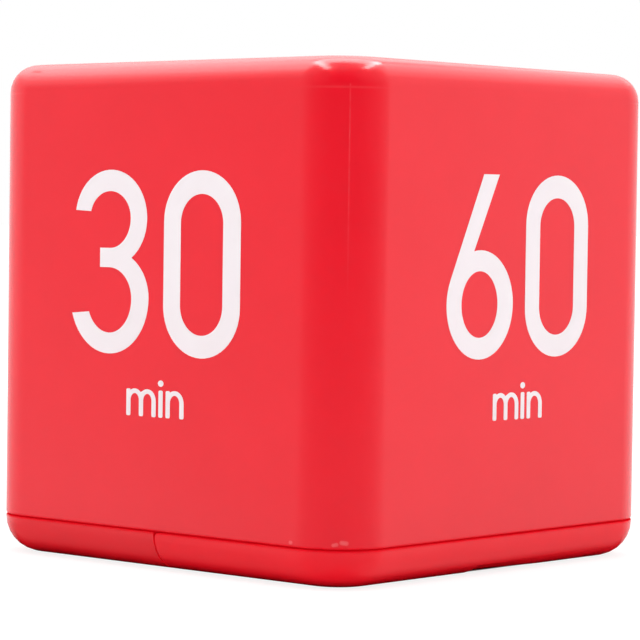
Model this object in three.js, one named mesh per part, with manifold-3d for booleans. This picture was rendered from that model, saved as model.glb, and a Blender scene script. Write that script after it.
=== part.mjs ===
// Cube timer: a moulded housing with a preset number on each of four sides, a display window
// in the top, and a base whose +X half is a slide-off battery door.
// Millimetres, +Z up, origin in the middle of the underside.

import * as THREE from "three";
import { mergeVertices } from "three/addons/utils/BufferGeometryUtils.js";
import Module from "manifold-3d";

const wasm = await Module();
wasm.setup();

// Whole housing
const CUBE = 63.5; // each way in plan
const HEIGHT = 64.1; // standing
const EDGE_R = 7.65; // upright edges
const TOP_R = 3.64; // from the sides into the top
const SHELL_RIM_R = 0.25; // small rounds along the seam
const BASE_RIM_R = 0.2;
const WALL = 2;
const SKIRT_TOP = 4.9; // upper rim of base and door
const SEAM = 0.12; // visible gap between shell and base
const DOOR_X = 0.25; // middle of the gap between base and door
const DOOR_GAP = 0.3;
const FIT = 0.3; // clearance between neighbours
const BOND = 0.1; // glue, tape or solder between joined pieces
const OVERRUN = 5; // how far a cutting body runs past what it cuts

// Lip joint between shell and base
const LIP_RISE = 3.05;
const SNAP_IN = 12.1; // from the ends of the rails towards the middle
const SNAP_WIDTH = 8;
const SNAP_TAB = 1.2;
const SNAP_LOW = 10.2;
const SNAP_RISE = 1.5;

// Display window, glass and holder
const VIEW_MARGIN = 1; // the opening is this much narrower than the glass at each end
const VIEW_Y = 18.5;
const VIEW_R = 1.2;
const LENS_MARGIN = 2.2;
const LENS_T = 1;
const LENS_DROP = 0.2;
const GLASS_Y = 21;
const GLASS_PLATE = 1.1;
const GLASS_STEP = 2.2; // the rear plate is this much shorter at each long side
const GLASS_RISE = 3.4; // height of the rear plate above the board
const GLASS_LEDGE = 0.8;
const HOLDER_WALL = 1.6;
const HOLDER_DROP = 0.6; // how far its rim lies below the glass
const PEG_R = 0.6;

// Main board and what it carries
const BOARD_ROOM_X = 2.75; // from the board's edge to the shell's wall
const BOARD_ROOM_Y = 1.5; // from the board's edge to the posts of the cover screws
const BOARD_R = 1;
const BOARD_T = 1.6;
const BOARD_BOSS_IN = 2.8; // from the board's edges, each way
const BOARD_BOSS_R = 2.1;
const BLOB_R = 5.5;
const BLOB_H = 1.5;
const CRYSTAL_R = 1;
const CRYSTAL_L = 6;
const CAPACITOR_R = 2.5;
const CAPACITOR_H = 5.2;
const COIL_R = 3.4;
const COIL_H = 4.6;
const COIL_FLANGE = 0.8;
const COIL_GROOVE = 1;
const TRANSISTOR_R = 2.3;
const TRANSISTOR_H = 4.5;
const TRANSISTOR_FLAT = 1.2;
const EXTRAS_Y = 11.5; // places of the small components, each side of the middle

// Ball switches
const CAN_R = 2.6;
const CAN_WALL = 0.4;
const BALL_R = 1.6;
const BALL_PLAY = 2; // how far the ball rolls
const STOPPER_T = 1.2;
const STOPPER_PIN_R = 0.25;
const STOPPER_PIN_Y = 1.1;
const STOPPER_PIN_OUT = 1;
const CAN_ROOM_X = 3.3; // from the closed ends of the cans along X to the board's edge
const CAN_ROOM_Y = 3.2; // from the stoppers of the cans along Y to the resin drop

// Screws
const COVER_SCREW = { head: 2.4, headH: 1.8, shank: 1.25, length: 12, cross: 2.6, slot: 0.6 };
const BOARD_SCREW = { head: 1.8, headH: 1.2, shank: 0.9, length: 5.6, cross: 2, slot: 0.5 };
const SWITCH_SCREW = { head: 1.6, headH: 1.1, shank: 0.8, length: 5, cross: 1.8, slot: 0.45 };
const COVER_POST_IN = 8.55; // from the housing's sides, each way
const COVER_POST_R = 3.2;
const COVER_POST_LOW = 10;
const COVER_TUBE_R = 3.9;
const COVER_SINK = 4; // depth of the countersunk seat
const GUSSET = 1.2;

// Battery well: two AAA cells that lie along Y
const CELL_R = 5.25;
const CELL_RIM = 0.5;
const BUTTON_R = 2;
const BUTTON_H = 1;
const CELL_GAP = 1.1; // between the two cells
const WELL_WALL = 1.5;
const CONTACT_T = 0.4;
const CONTACT_X = 9;
const CONTACT_H = 8.4;
const CONTACT_TAIL = 2;
const SPRING_ROOM = 6.8; // from a plate's wall side of the spring to the cell
const SPRING_WIRE = 0.35;
const SPRING_WIDE = 3.6;
const SPRING_NARROW = 2.2;
const SPRING_TURNS = 3.5;

// Door: side rails, tongues, ribs and thumb grip
const RAIL_T = 0.8;
const RAIL_REACH = 1.75; // how far the door's rail stands in from its side
const RAIL_HOLD = 0.7; // overlap of the door's rail and the base's
const TONGUE_IN = 10.1; // from the ends of the rails towards the middle
const TONGUE_WIDTH = 10;
const TONGUE_T = 1;
const TONGUE_OUT = 3.3; // reach past the middle of the seam
const TONGUE_ROOT = 2;
const DOOR_RIB = 1;
const DOOR_RIB_IN = 6.2; // from the ends of the well
const DOOR_CORNER_R = 0.7;
const SEAM_LIP = 1.9; // how far the base's lip reaches behind the door's edge
const SEAM_LIP_T = 1.2;
const GRIP_FRONT = 4.2; // from the middle of the door to the grip's deep end
const GRIP_WIDTH = 17.2; // from the deep end to where it runs out
const GRIP_LENGTH = 13.2;
const GRIP_H = 1.2;
const GRIP_DEPTH = 0.3; // at the deep end
const GRIP_BARS = 3;
const GRIP_BAR = 0.9;
const GRIP_BAR_LENGTH = 10;
const GRIP_PITCH = 2; // also from the deep end to the bars

// Power switch, which slides along X
const SWITCH_IN = 11.7; // from the cover screw towards the middle
const SWITCH_TRAVEL = 2.5;
const DISH_X = 13;
const DISH_Y = 7;
const DISH_R = 1.5;
const DISH_DEPTH = 1.4;
const PAD_MARGIN = 1.6;
const PAD_TOP = 3;
const KNOB_X = 4.6;
const KNOB_Y = 3.6;
const KNOB_DROP = 0.5; // knob's face above the underside
const KNOB_PLATE_X = 10;
const KNOB_PLATE_Y = 5.4;
const KNOB_PLATE_T = 1;
const KNOB_FORK_H = 2;
const KNOB_FORK_T = 1;
const KNOB_GROOVES = 3;
const KNOB_GROOVE = 0.5;
const KNOB_GROOVE_DEPTH = 0.4;
const SLIDER_STEM = 1.6;
const SLIDER_STEM_Y = 1.4;
const SLIDER_X = 3.2;
const SLIDER_Y = 2.6;
const SLIDER_H = 1.4;
const CASE_WALL = 0.5;
const CASE_H = 3.4;
const SWITCH_BOARD_END = 2.05; // from its screws to its ends
const SWITCH_BOARD_Y = 7;
const SWITCH_BOARD_T = 1.2;
const SWITCH_BOSS_R = 1.9;

// Sounder
const SOUNDER_IN = 10.7; // from the cover screw towards the middle
const SOUNDER_ROOM = 3; // left free between the collar, the door's tongue and the wall
const SOUNDER_GAP = 0.65; // from the collar to the door's tongue
const BRASS_T = 0.3;
const CERAMIC_MARGIN = 2.5;
const CERAMIC_T = 0.25;
const SOUNDER_WALL = 1;
const SOUNDER_LEDGE = 1.2;
const SOUNDER_CHAMBER = 1.4;
const SOUNDER_COLLAR = 1.6;
const SOUND_HOLE_R = 0.7;
const SOUND_RING_R = 3.6;
const SOUND_HOLES = 6;

// Roundness of curved faces
const EDGE_STEPS = 12;
const INNER_STEPS = 5;
const ROUND_STEPS = 7;
const RIM_STEPS = 2;
const INNER_ROUND_STEPS = 4;
const SIDES = 24;
const MID_SIDES = 16;
const FINE_SIDES = 10;

// Planes that several pieces share
const HALF = CUBE / 2;
const INSIDE = HALF - WALL;
const CEILING = HEIGHT - WALL;
const SHELL_LOW = SKIRT_TOP + SEAM;
const LIP_TOP = SKIRT_TOP + LIP_RISE;
const REBATE = HALF - WALL / 2;
const LIP_OUT = REBATE - FIT;
const FLOOR = WALL;
const DECK_LOW = SKIRT_TOP + FIT;
const DECK_TOP = DECK_LOW + WELL_WALL;
const FOOT_R = SKIRT_TOP - BASE_RIM_R;
const BASE_EDGE = DOOR_X - DOOR_GAP / 2;
const DOOR_EDGE = DOOR_X + DOOR_GAP / 2;
const GLASS_TOP = CEILING - FIT;
const STRIP_T = GLASS_STEP - 2 * FIT;
const GLASS_LOW = GLASS_TOP - 2 * GLASS_PLATE;
const BOARD_TOP = GLASS_LOW - GLASS_RISE;
const BOARD_LOW = BOARD_TOP - BOARD_T;
const TONGUE_LOW = FLOOR + FIT;
const TONGUE_TOP = TONGUE_LOW + TONGUE_T;
const CELL_Z = TONGUE_TOP + FIT + CELL_R;
const CELL_PITCH = 2 * CELL_R + CELL_GAP;
const WELL_X = (DOOR_X + INSIDE) / 2;
const DOOR_RAIL_START = DOOR_EDGE + SEAM_LIP + FIT;
const DOOR_RAIL_IN = INSIDE - RAIL_REACH;
const BASE_RAIL_ROOT = DOOR_RAIL_IN - FIT;
const WELL_HALF = BASE_RAIL_ROOT - WELL_WALL;
const RAIL_END = HALF - EDGE_R;
const SNAP_Y = RAIL_END - SNAP_IN;
const TONGUE_Y = RAIL_END - TONGUE_IN;
const PLATE_INNER = WELL_HALF - BOND - CONTACT_T;
const CELL_L = 2 * PLATE_INNER - BOND - BUTTON_H - SPRING_ROOM;
const BOARD_X = 2 * (INSIDE - BOARD_ROOM_X);
const COVER_POST = HALF - COVER_POST_IN;
const BOARD_Y = 2 * (COVER_POST - COVER_POST_R - BOARD_ROOM_Y);
const BOARD_BOSS_X = BOARD_X / 2 - BOARD_BOSS_IN;
const BOARD_BOSS_Y = BOARD_Y / 2 - BOARD_BOSS_IN;
const EXTRAS_X = BOARD_BOSS_X / 2;
const GLASS_X = 2 * (BOARD_BOSS_X - BOARD_BOSS_R - HOLDER_WALL - 2 * FIT);
const VIEW_X = GLASS_X - 2 * VIEW_MARGIN;
const CAN_L = CAN_WALL + 2 * (BALL_R + FIT) + BALL_PLAY;
const CAN_START_X = BOARD_X / 2 - CAN_ROOM_X - CAN_L - STOPPER_T;
const CAN_START_Y = BLOB_R + CAN_ROOM_Y;
const TONGUE_END = TONGUE_OUT - DOOR_X;
const SWITCH_X = -(TONGUE_END + INSIDE) / 2;
const SWITCH_Y = COVER_POST - SWITCH_IN;
const SWITCH_BOSS_X = KNOB_PLATE_X / 2 + SWITCH_TRAVEL / 2 + FIT + SWITCH_BOSS_R;
const SWITCH_BOARD_X = 2 * (SWITCH_BOSS_X + SWITCH_BOARD_END);
const COLLAR_R = (INSIDE - TONGUE_END) / 2 - SOUNDER_ROOM;
const BRASS_R = COLLAR_R - SOUNDER_WALL - FIT;
const CERAMIC_R = BRASS_R - CERAMIC_MARGIN;
const SOUNDER_X = -(TONGUE_END + SOUNDER_GAP + COLLAR_R);
const SOUNDER_Y = SOUNDER_IN - COVER_POST;

// Solids

function solidOf(geometry) {
  const bare = new THREE.BufferGeometry();
  bare.setAttribute("position", geometry.getAttribute("position"));
  bare.setIndex(geometry.getIndex());
  const merged = mergeVertices(bare);
  const mesh = new wasm.Mesh({
    numProp: 3,
    vertProperties: merged.getAttribute("position").array,
    triVerts: merged.getIndex().array,
  });
  return new wasm.Manifold(mesh);
}

function box([x0, x1], [y0, y1], [z0, z1]) {
  const geometry = new THREE.BoxGeometry(x1 - x0, y1 - y0, z1 - z0);
  geometry.translate((x0 + x1) / 2, (y0 + y1) / 2, (z0 + z1) / 2);
  return solidOf(geometry);
}

function centredBox(x, y, sizeX, sizeY, zRange) {
  return box([x - sizeX / 2, x + sizeX / 2], [y - sizeY / 2, y + sizeY / 2], zRange);
}

// Upright cylinder
function column(x, y, radius, [z0, z1], sides = SIDES) {
  const geometry = new THREE.CylinderGeometry(radius, radius, z1 - z0, sides);
  geometry.rotateX(Math.PI / 2);
  geometry.translate(x, y, (z0 + z1) / 2);
  return solidOf(geometry);
}

// Cylinder along Y
function bar(x, z, radius, [y0, y1], sides = SIDES) {
  const geometry = new THREE.CylinderGeometry(radius, radius, y1 - y0, sides);
  geometry.translate(x, (y0 + y1) / 2, z);
  return solidOf(geometry);
}

function cornerRing(halfX, halfY, corner, z, steps) {
  const points = [];
  const corners = [
    [1, 1],
    [-1, 1],
    [-1, -1],
    [1, -1],
  ];
  corners.forEach(([sideX, sideY], quarter) => {
    for (let i = 0; i <= steps; i++) {
      const angle = ((quarter + i / steps) * Math.PI) / 2;
      const x = sideX * (halfX - corner) + corner * Math.cos(angle);
      const y = sideY * (halfY - corner) + corner * Math.sin(angle);
      points.push(x, y, z);
    }
  });
  return points;
}

// Insets and heights of the rings that round a rim of radius r, from the rim's flat to its side
function rimProfile(r, steps) {
  if (r === 0) return [[0, 0]];
  const count = r > SHELL_RIM_R ? steps : RIM_STEPS;
  return Array.from({ length: count + 1 }, (_, i) => {
    const angle = ((i / count) * Math.PI) / 2;
    return [r * (1 - Math.sin(angle)), r * (1 - Math.cos(angle))];
  });
}

// Upright block with rounded corners, rounded inwards at its lower and upper rims
function roundedBlock({ halfX, halfY, corner, low, high, lowR = 0, highR = 0, steps, rimSteps }) {
  const lower = rimProfile(lowR, rimSteps).map(([inset, rise]) => [inset, low + rise]);
  const upper = rimProfile(highR, rimSteps).map(([inset, rise]) => [inset, high - rise]);
  const levels = [...lower, ...upper.reverse()];
  const positions = levels.flatMap(([inset, z]) =>
    cornerRing(halfX - inset, halfY - inset, corner - inset, z, steps),
  );
  const count = 4 * (steps + 1);
  const last = count * (levels.length - 1);
  const faces = [];
  for (let level = 0; level + 1 < levels.length; level++) {
    for (let i = 0; i < count; i++) {
      const a = level * count + i;
      const b = level * count + ((i + 1) % count);
      faces.push(a, b, b + count, a, b + count, a + count);
    }
  }
  for (let i = 1; i + 1 < count; i++) {
    faces.push(0, i + 1, i, last, last + i, last + i + 1);
  }
  const geometry = new THREE.BufferGeometry();
  geometry.setAttribute("position", new THREE.Float32BufferAttribute(positions, 3));
  geometry.setIndex(faces);
  return solidOf(geometry);
}

// Square block whose sides run parallel to the housing's
function parallelBlock(half, low, high, rounds = {}) {
  return roundedBlock({
    halfX: half,
    halfY: half,
    corner: EDGE_R - (HALF - half),
    low,
    high,
    steps: half > INSIDE ? EDGE_STEPS : INNER_STEPS,
    rimSteps: half > INSIDE ? ROUND_STEPS : INNER_ROUND_STEPS,
    ...rounds,
  });
}

function plate(x, y, sizeX, sizeY, corner, [low, high]) {
  const block = roundedBlock({
    halfX: sizeX / 2,
    halfY: sizeY / 2,
    corner,
    low,
    high,
    steps: INNER_STEPS,
  });
  return block.translate([x, y, 0]);
}

function lathe(points, sides = SIDES) {
  const outline = points.map(([r, z]) => new THREE.Vector2(r, z));
  const geometry = new THREE.LatheGeometry(outline, sides);
  geometry.rotateX(Math.PI / 2);
  return solidOf(geometry);
}

function join(solids) {
  return solids.reduce((sum, solid) => sum.add(solid));
}

function cut(solid, tools) {
  return tools.reduce((rest, tool) => rest.subtract(tool), solid);
}

const BOTH_SIDES = [-1, 1];

function fourCorners(x, y) {
  return BOTH_SIDES.flatMap((sideX) => BOTH_SIDES.map((sideY) => [sideX * x, sideY * y]));
}

// Meshes

const FINISHES = {
  shellRed: { color: 0xf2404c, roughness: 0.45, metalness: 0 },
  baseRed: { color: 0xee3a46, roughness: 0.45, metalness: 0 },
  clear: { color: 0xdfe6ea, roughness: 0.08, metalness: 0 },
  glass: { color: 0x9aa69a, roughness: 0.12, metalness: 0 },
  whitePlastic: { color: 0xe8e6e0, roughness: 0.5, metalness: 0 },
  blackPlastic: { color: 0x1c1c1e, roughness: 0.5, metalness: 0 },
  rubber: { color: 0x34343a, roughness: 0.8, metalness: 0 },
  board: { color: 0x2f6b3c, roughness: 0.5, metalness: 0 },
  resin: { color: 0x101012, roughness: 0.3, metalness: 0 },
  steel: { color: 0xb9bcc0, roughness: 0.35, metalness: 1 },
  nickel: { color: 0xc9c7be, roughness: 0.3, metalness: 1 },
  brass: { color: 0xc9a55a, roughness: 0.35, metalness: 1 },
  ceramic: { color: 0xe9e7e2, roughness: 0.4, metalness: 0 },
  copper: { color: 0x9a5a34, roughness: 0.4, metalness: 1 },
  cellSleeve: { color: 0x3a4652, roughness: 0.35, metalness: 0 },
};

function named(name, finish, solid) {
  const made = solid.getMesh();
  const geometry = new THREE.BufferGeometry();
  geometry.setAttribute("position", new THREE.BufferAttribute(made.vertProperties, 3));
  geometry.setIndex(new THREE.BufferAttribute(made.triVerts, 1));
  const material = new THREE.MeshStandardMaterial({ ...FINISHES[finish], flatShading: true });
  const mesh = new THREE.Mesh(geometry, material);
  mesh.name = name;
  return mesh;
}

// Screw that stands on its head at z = 0 with its shank upwards
function screwSolid({ head, headH, shank, length, cross, slot }) {
  const dome = headH / 3;
  const tip = shank / 2;
  const body = lathe(
    [
      [0, 0],
      [head - dome, 0],
      [head, dome],
      [head, headH],
      [shank, headH],
      [shank, headH + length - tip],
      [tip, headH + length],
      [0, headH + length],
    ],
    FINE_SIDES,
  );
  const depth = [-OVERRUN, headH / 2];
  return cut(body, [
    centredBox(0, 0, cross, slot, depth),
    centredBox(0, 0, slot, cross, depth),
  ]);
}

// Main shell

function coverPost(side) {
  const x = -COVER_POST;
  const y = side * COVER_POST;
  const span = [COVER_POST_LOW, CEILING + WALL / 2];
  const wall = INSIDE + WALL / 2;
  return join([
    column(x, y, COVER_POST_R, span),
    box([-wall, x], [y - GUSSET / 2, y + GUSSET / 2], span),
    box([x - GUSSET / 2, x + GUSSET / 2], [y, side * wall].sort((a, b) => a - b), span),
  ]);
}

function mainShell() {
  const outside = parallelBlock(HALF, SHELL_LOW, HEIGHT, { lowR: SHELL_RIM_R, highR: TOP_R });
  const inside = parallelBlock(INSIDE, SHELL_LOW - OVERRUN, CEILING, { highR: TOP_R - WALL });
  const rebate = parallelBlock(REBATE, SHELL_LOW - OVERRUN, LIP_TOP + FIT);
  const posts = BOTH_SIDES.map(coverPost);
  const bosses = fourCorners(BOARD_BOSS_X, BOARD_BOSS_Y).map(([x, y]) =>
    column(x, y, BOARD_BOSS_R, [BOARD_TOP + FIT, CEILING + WALL / 2], FINE_SIDES),
  );
  const lensX = VIEW_X + 2 * LENS_MARGIN;
  const lensY = VIEW_Y + 2 * LENS_MARGIN;
  const seat = HEIGHT - LENS_DROP - LENS_T - BOND;
  const view = plate(0, 0, VIEW_X, VIEW_Y, VIEW_R, [CEILING - OVERRUN, HEIGHT + OVERRUN]);
  const lensSeat = plate(0, 0, lensX + 2 * FIT, lensY + 2 * FIT, VIEW_R + LENS_MARGIN + FIT, [
    seat,
    HEIGHT + OVERRUN,
  ]);
  const coverPilot = COVER_SCREW.shank + FIT;
  const coverPilots = BOTH_SIDES.map((side) =>
    column(
      -COVER_POST,
      side * COVER_POST,
      coverPilot,
      [SHELL_LOW, COVER_SINK + COVER_SCREW.length + FIT],
      FINE_SIDES,
    ),
  );
  const boardPilots = fourCorners(BOARD_BOSS_X, BOARD_BOSS_Y).map(([x, y]) =>
    column(x, y, BOARD_SCREW.shank + FIT, [BOARD_LOW, BOARD_LOW + BOARD_SCREW.length + FIT], FINE_SIDES),
  );
  const snapPockets = BOTH_SIDES.map((side) =>
    centredBox(
      (INSIDE - WALL / 2 + REBATE) / 2,
      side * SNAP_Y,
      WALL,
      SNAP_WIDTH + 2 * FIT,
      [SNAP_LOW - FIT, SNAP_LOW + SNAP_RISE + FIT],
    ),
  );
  const hollow = outside.subtract(inside).subtract(rebate);
  const carried = join([hollow, ...posts, ...bosses]);
  const shell = cut(carried, [view, lensSeat, ...coverPilots, ...boardPilots, ...snapPockets]);
  return named("main_shell", "shellRed", shell);
}

// Base cover

// The room inside the closed door, less a clearance
function doorRoom() {
  return parallelBlock(INSIDE - FIT, FLOOR + FIT, HEIGHT, { lowR: FOOT_R - WALL });
}

function baseTray() {
  const outside = parallelBlock(HALF, 0, SKIRT_TOP, { lowR: FOOT_R, highR: BASE_RIM_R });
  const inside = parallelBlock(INSIDE, FLOOR, SKIRT_TOP + OVERRUN, { lowR: FOOT_R - WALL });
  const minusX = [-HALF - OVERRUN, BASE_EDGE];
  const bulkhead = [BASE_EDGE - WELL_WALL, BASE_EDGE];
  const across = [-HALF - OVERRUN, HALF + OVERRUN];
  const half = outside.subtract(inside).intersect(box(minusX, across, [-OVERRUN, HEIGHT]));
  const wall = parallelBlock(HALF - WALL / 2, 0, SKIRT_TOP, { lowR: FOOT_R }).intersect(
    box(bulkhead, across, [-OVERRUN, HEIGHT]),
  );
  const slots = BOTH_SIDES.map((side) =>
    centredBox(BASE_EDGE, side * TONGUE_Y, 2 * WALL + 2 * FIT, TONGUE_WIDTH + 2 * FIT, [
      FLOOR,
      TONGUE_TOP + FIT,
    ]),
  );
  return cut(half.add(wall), slots);
}

function baseLip() {
  const ring = (low) =>
    parallelBlock(LIP_OUT, low, LIP_TOP).subtract(
      parallelBlock(INSIDE, low - OVERRUN, LIP_TOP + OVERRUN),
    );
  const across = [-HALF, HALF];
  const overTray = ring(SKIRT_TOP - WALL / 2).intersect(box([-HALF, BASE_EDGE], across, [0, HEIGHT]));
  const overDoor = ring(DECK_LOW).intersect(box([BASE_EDGE, HALF], across, [0, HEIGHT]));
  return overTray.add(overDoor);
}

function baseDeck() {
  const sheet = parallelBlock(LIP_OUT, DECK_LOW, DECK_TOP).intersect(
    box([BASE_EDGE - WELL_WALL, HALF], [-HALF, HALF], [0, HEIGHT]),
  );
  const riser = parallelBlock(INSIDE + WALL / 4, TONGUE_TOP + FIT, DECK_TOP).intersect(
    box([BASE_EDGE - WELL_WALL, BASE_EDGE], [-HALF, HALF], [0, HEIGHT]),
  );
  return sheet.add(riser);
}

function cellPlaces() {
  return BOTH_SIDES.map((side) => WELL_X + (side * CELL_PITCH) / 2);
}

// Two half-round troughs side by side, over straight walls
function wellBody(margin, low, halfLength) {
  const radius = CELL_R + FIT + margin;
  const halfX = CELL_PITCH / 2 + radius;
  const span = [-halfLength, halfLength];
  const rounds = cellPlaces().map((x) => bar(x, CELL_Z, radius, span));
  return join([box([WELL_X - halfX, WELL_X + halfX], span, [low, CELL_Z]), ...rounds]);
}

function baseWell() {
  const outside = wellBody(WELL_WALL, TONGUE_TOP + FIT, WELL_HALF + WELL_WALL);
  const rails = BOTH_SIDES.map((side) => {
    const railTop = SKIRT_TOP - RAIL_T - FIT;
    const root = [side * WELL_HALF, side * BASE_RAIL_ROOT].sort((a, b) => a - b);
    const reach = side * (DOOR_RAIL_IN + RAIL_HOLD);
    const flange = [side * WELL_HALF, reach].sort((a, b) => a - b);
    const run = [BASE_EDGE - WELL_WALL / 2, RAIL_END];
    return box(run, root, [railTop - RAIL_T, DECK_TOP]).add(
      box(run, flange, [railTop - RAIL_T, railTop]),
    );
  });
  return join([outside, ...rails]).intersect(doorRoom());
}

// Lips that close the seam between base and door from inside, at both sides
function seamLips() {
  const inner = INSIDE - FIT;
  const low = FLOOR + FIT;
  const hoop = parallelBlock(inner, low, DECK_TOP, { lowR: FOOT_R - WALL }).subtract(
    parallelBlock(inner - SEAM_LIP_T, low + SEAM_LIP_T, HEIGHT, { lowR: FOOT_R - WALL }),
  );
  return BOTH_SIDES.map((side) => {
    const across = [side * RAIL_END, side * HALF].sort((a, b) => a - b);
    return hoop.intersect(box([BASE_EDGE - WELL_WALL, DOOR_EDGE + SEAM_LIP], across, [0, HEIGHT]));
  });
}

function snapHooks() {
  const face = INSIDE - FIT;
  return BOTH_SIDES.map((side) => {
    const tab = centredBox(face - SNAP_TAB / 2, side * SNAP_Y, SNAP_TAB, SNAP_WIDTH, [
      DECK_TOP - WELL_WALL / 2,
      SNAP_LOW + SNAP_RISE,
    ]);
    const profile = new THREE.Shape([
      new THREE.Vector2(face - SNAP_TAB / 2, SNAP_LOW),
      new THREE.Vector2(LIP_OUT, SNAP_LOW),
      new THREE.Vector2(LIP_OUT, SNAP_LOW + SNAP_RISE / 3),
      new THREE.Vector2(face, SNAP_LOW + SNAP_RISE),
      new THREE.Vector2(face - SNAP_TAB / 2, SNAP_LOW + SNAP_RISE),
    ]);
    const geometry = new THREE.ExtrudeGeometry(profile, { depth: SNAP_WIDTH, bevelEnabled: false });
    geometry.rotateX(Math.PI / 2);
    geometry.translate(0, side * SNAP_Y + SNAP_WIDTH / 2, 0);
    return tab.add(solidOf(geometry));
  });
}

function coverScrewTubes() {
  return BOTH_SIDES.map((side) =>
    column(-COVER_POST, side * COVER_POST, COVER_TUBE_R, [FLOOR / 2, COVER_POST_LOW - FIT]),
  );
}

function coverScrewHoles() {
  return BOTH_SIDES.flatMap((side) => [
    column(-COVER_POST, side * COVER_POST, COVER_SCREW.head + FIT, [-OVERRUN, COVER_SINK]),
    column(
      -COVER_POST,
      side * COVER_POST,
      COVER_SCREW.shank + FIT,
      [-OVERRUN, COVER_POST_LOW + OVERRUN],
      FINE_SIDES,
    ),
  ]);
}

// Collar that holds the brass disc on a ledge over its chamber
function sounderSeat() {
  const bore = COLLAR_R - SOUNDER_WALL;
  const ledgeTop = FLOOR + SOUNDER_CHAMBER;
  const place = [SOUNDER_X, SOUNDER_Y];
  const collar = column(...place, COLLAR_R, [FLOOR / 2, ledgeTop + SOUNDER_COLLAR]);
  return cut(collar, [
    column(...place, bore, [ledgeTop, HEIGHT]),
    column(...place, BRASS_R - SOUNDER_LEDGE, [FLOOR, HEIGHT]),
  ]);
}

function soundHoles() {
  const through = [-OVERRUN, FLOOR + OVERRUN];
  const ring = Array.from({ length: SOUND_HOLES }, (_, i) => {
    const angle = (i / SOUND_HOLES) * 2 * Math.PI;
    const x = SOUNDER_X + SOUND_RING_R * Math.cos(angle);
    const y = SOUNDER_Y + SOUND_RING_R * Math.sin(angle);
    return column(x, y, SOUND_HOLE_R, through, FINE_SIDES);
  });
  return [column(SOUNDER_X, SOUNDER_Y, SOUND_HOLE_R, through, FINE_SIDES), ...ring];
}

const CASE_LOW = PAD_TOP + FIT + KNOB_PLATE_T + KNOB_FORK_H + FIT;
const CASE_TOP = CASE_LOW + CASE_H;
const SWITCH_BOARD_LOW = CASE_TOP + BOND;

function switchSeat() {
  const pad = plate(
    SWITCH_X,
    SWITCH_Y,
    DISH_X + 2 * PAD_MARGIN,
    DISH_Y + 2 * PAD_MARGIN,
    DISH_R + PAD_MARGIN,
    [FLOOR / 2, PAD_TOP],
  );
  const bosses = BOTH_SIDES.map((side) =>
    column(
      SWITCH_X + side * SWITCH_BOSS_X,
      SWITCH_Y,
      SWITCH_BOSS_R,
      [FLOOR / 2, SWITCH_BOARD_LOW - BOND],
      FINE_SIDES,
    ),
  );
  return join([pad, ...bosses]);
}

function switchCuts() {
  const dish = plate(SWITCH_X, SWITCH_Y, DISH_X, DISH_Y, DISH_R, [-OVERRUN, DISH_DEPTH]);
  const slot = centredBox(
    SWITCH_X,
    SWITCH_Y,
    KNOB_X + SWITCH_TRAVEL + 2 * FIT,
    KNOB_Y + 2 * FIT,
    [-OVERRUN, PAD_TOP + OVERRUN],
  );
  const pilots = BOTH_SIDES.map((side) =>
    column(
      SWITCH_X + side * SWITCH_BOSS_X,
      SWITCH_Y,
      SWITCH_SCREW.shank + FIT,
      [SWITCH_BOARD_LOW + SWITCH_BOARD_T - SWITCH_SCREW.length - FIT, HEIGHT],
      FINE_SIDES,
    ),
  );
  return [dish, slot, ...pilots];
}

function baseCover() {
  const body = join([
    baseTray(),
    baseLip(),
    baseDeck(),
    baseWell(),
    ...seamLips(),
    ...snapHooks(),
    ...coverScrewTubes(),
    sounderSeat(),
    switchSeat(),
  ]);
  const well = wellBody(0, -OVERRUN, WELL_HALF).intersect(
    box([BASE_EDGE, HALF], [-HALF, HALF], [-OVERRUN, HEIGHT]),
  );
  const base = cut(body, [well, ...coverScrewHoles(), ...soundHoles(), ...switchCuts()]);
  return named("base_cover", "baseRed", base);
}

// Battery door

function doorRails() {
  return BOTH_SIDES.map((side) => {
    const across = [side * DOOR_RAIL_IN, side * (INSIDE + WALL / 2)].sort((a, b) => a - b);
    return box([DOOR_RAIL_START, RAIL_END], across, [SKIRT_TOP - RAIL_T, SKIRT_TOP]);
  });
}

function doorTongues() {
  return BOTH_SIDES.map((side) => {
    const width = [side * TONGUE_Y - TONGUE_WIDTH / 2, side * TONGUE_Y + TONGUE_WIDTH / 2];
    const root = [DOOR_EDGE, DOOR_EDGE + TONGUE_ROOT];
    const reach = [DOOR_X - TONGUE_OUT, DOOR_EDGE + TONGUE_ROOT];
    return box(reach, width, [TONGUE_LOW, TONGUE_TOP]).add(box(root, width, [FLOOR / 2, TONGUE_TOP]));
  });
}

function doorRibs() {
  const halfs = [...BOTH_SIDES, 0];
  return halfs.map((side) =>
    centredBox(WELL_X + (side * CELL_PITCH) / 2, 0, DOOR_RIB, 2 * (WELL_HALF - DOOR_RIB_IN), [
      FLOOR / 2,
      TONGUE_TOP,
    ]),
  );
}

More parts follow.
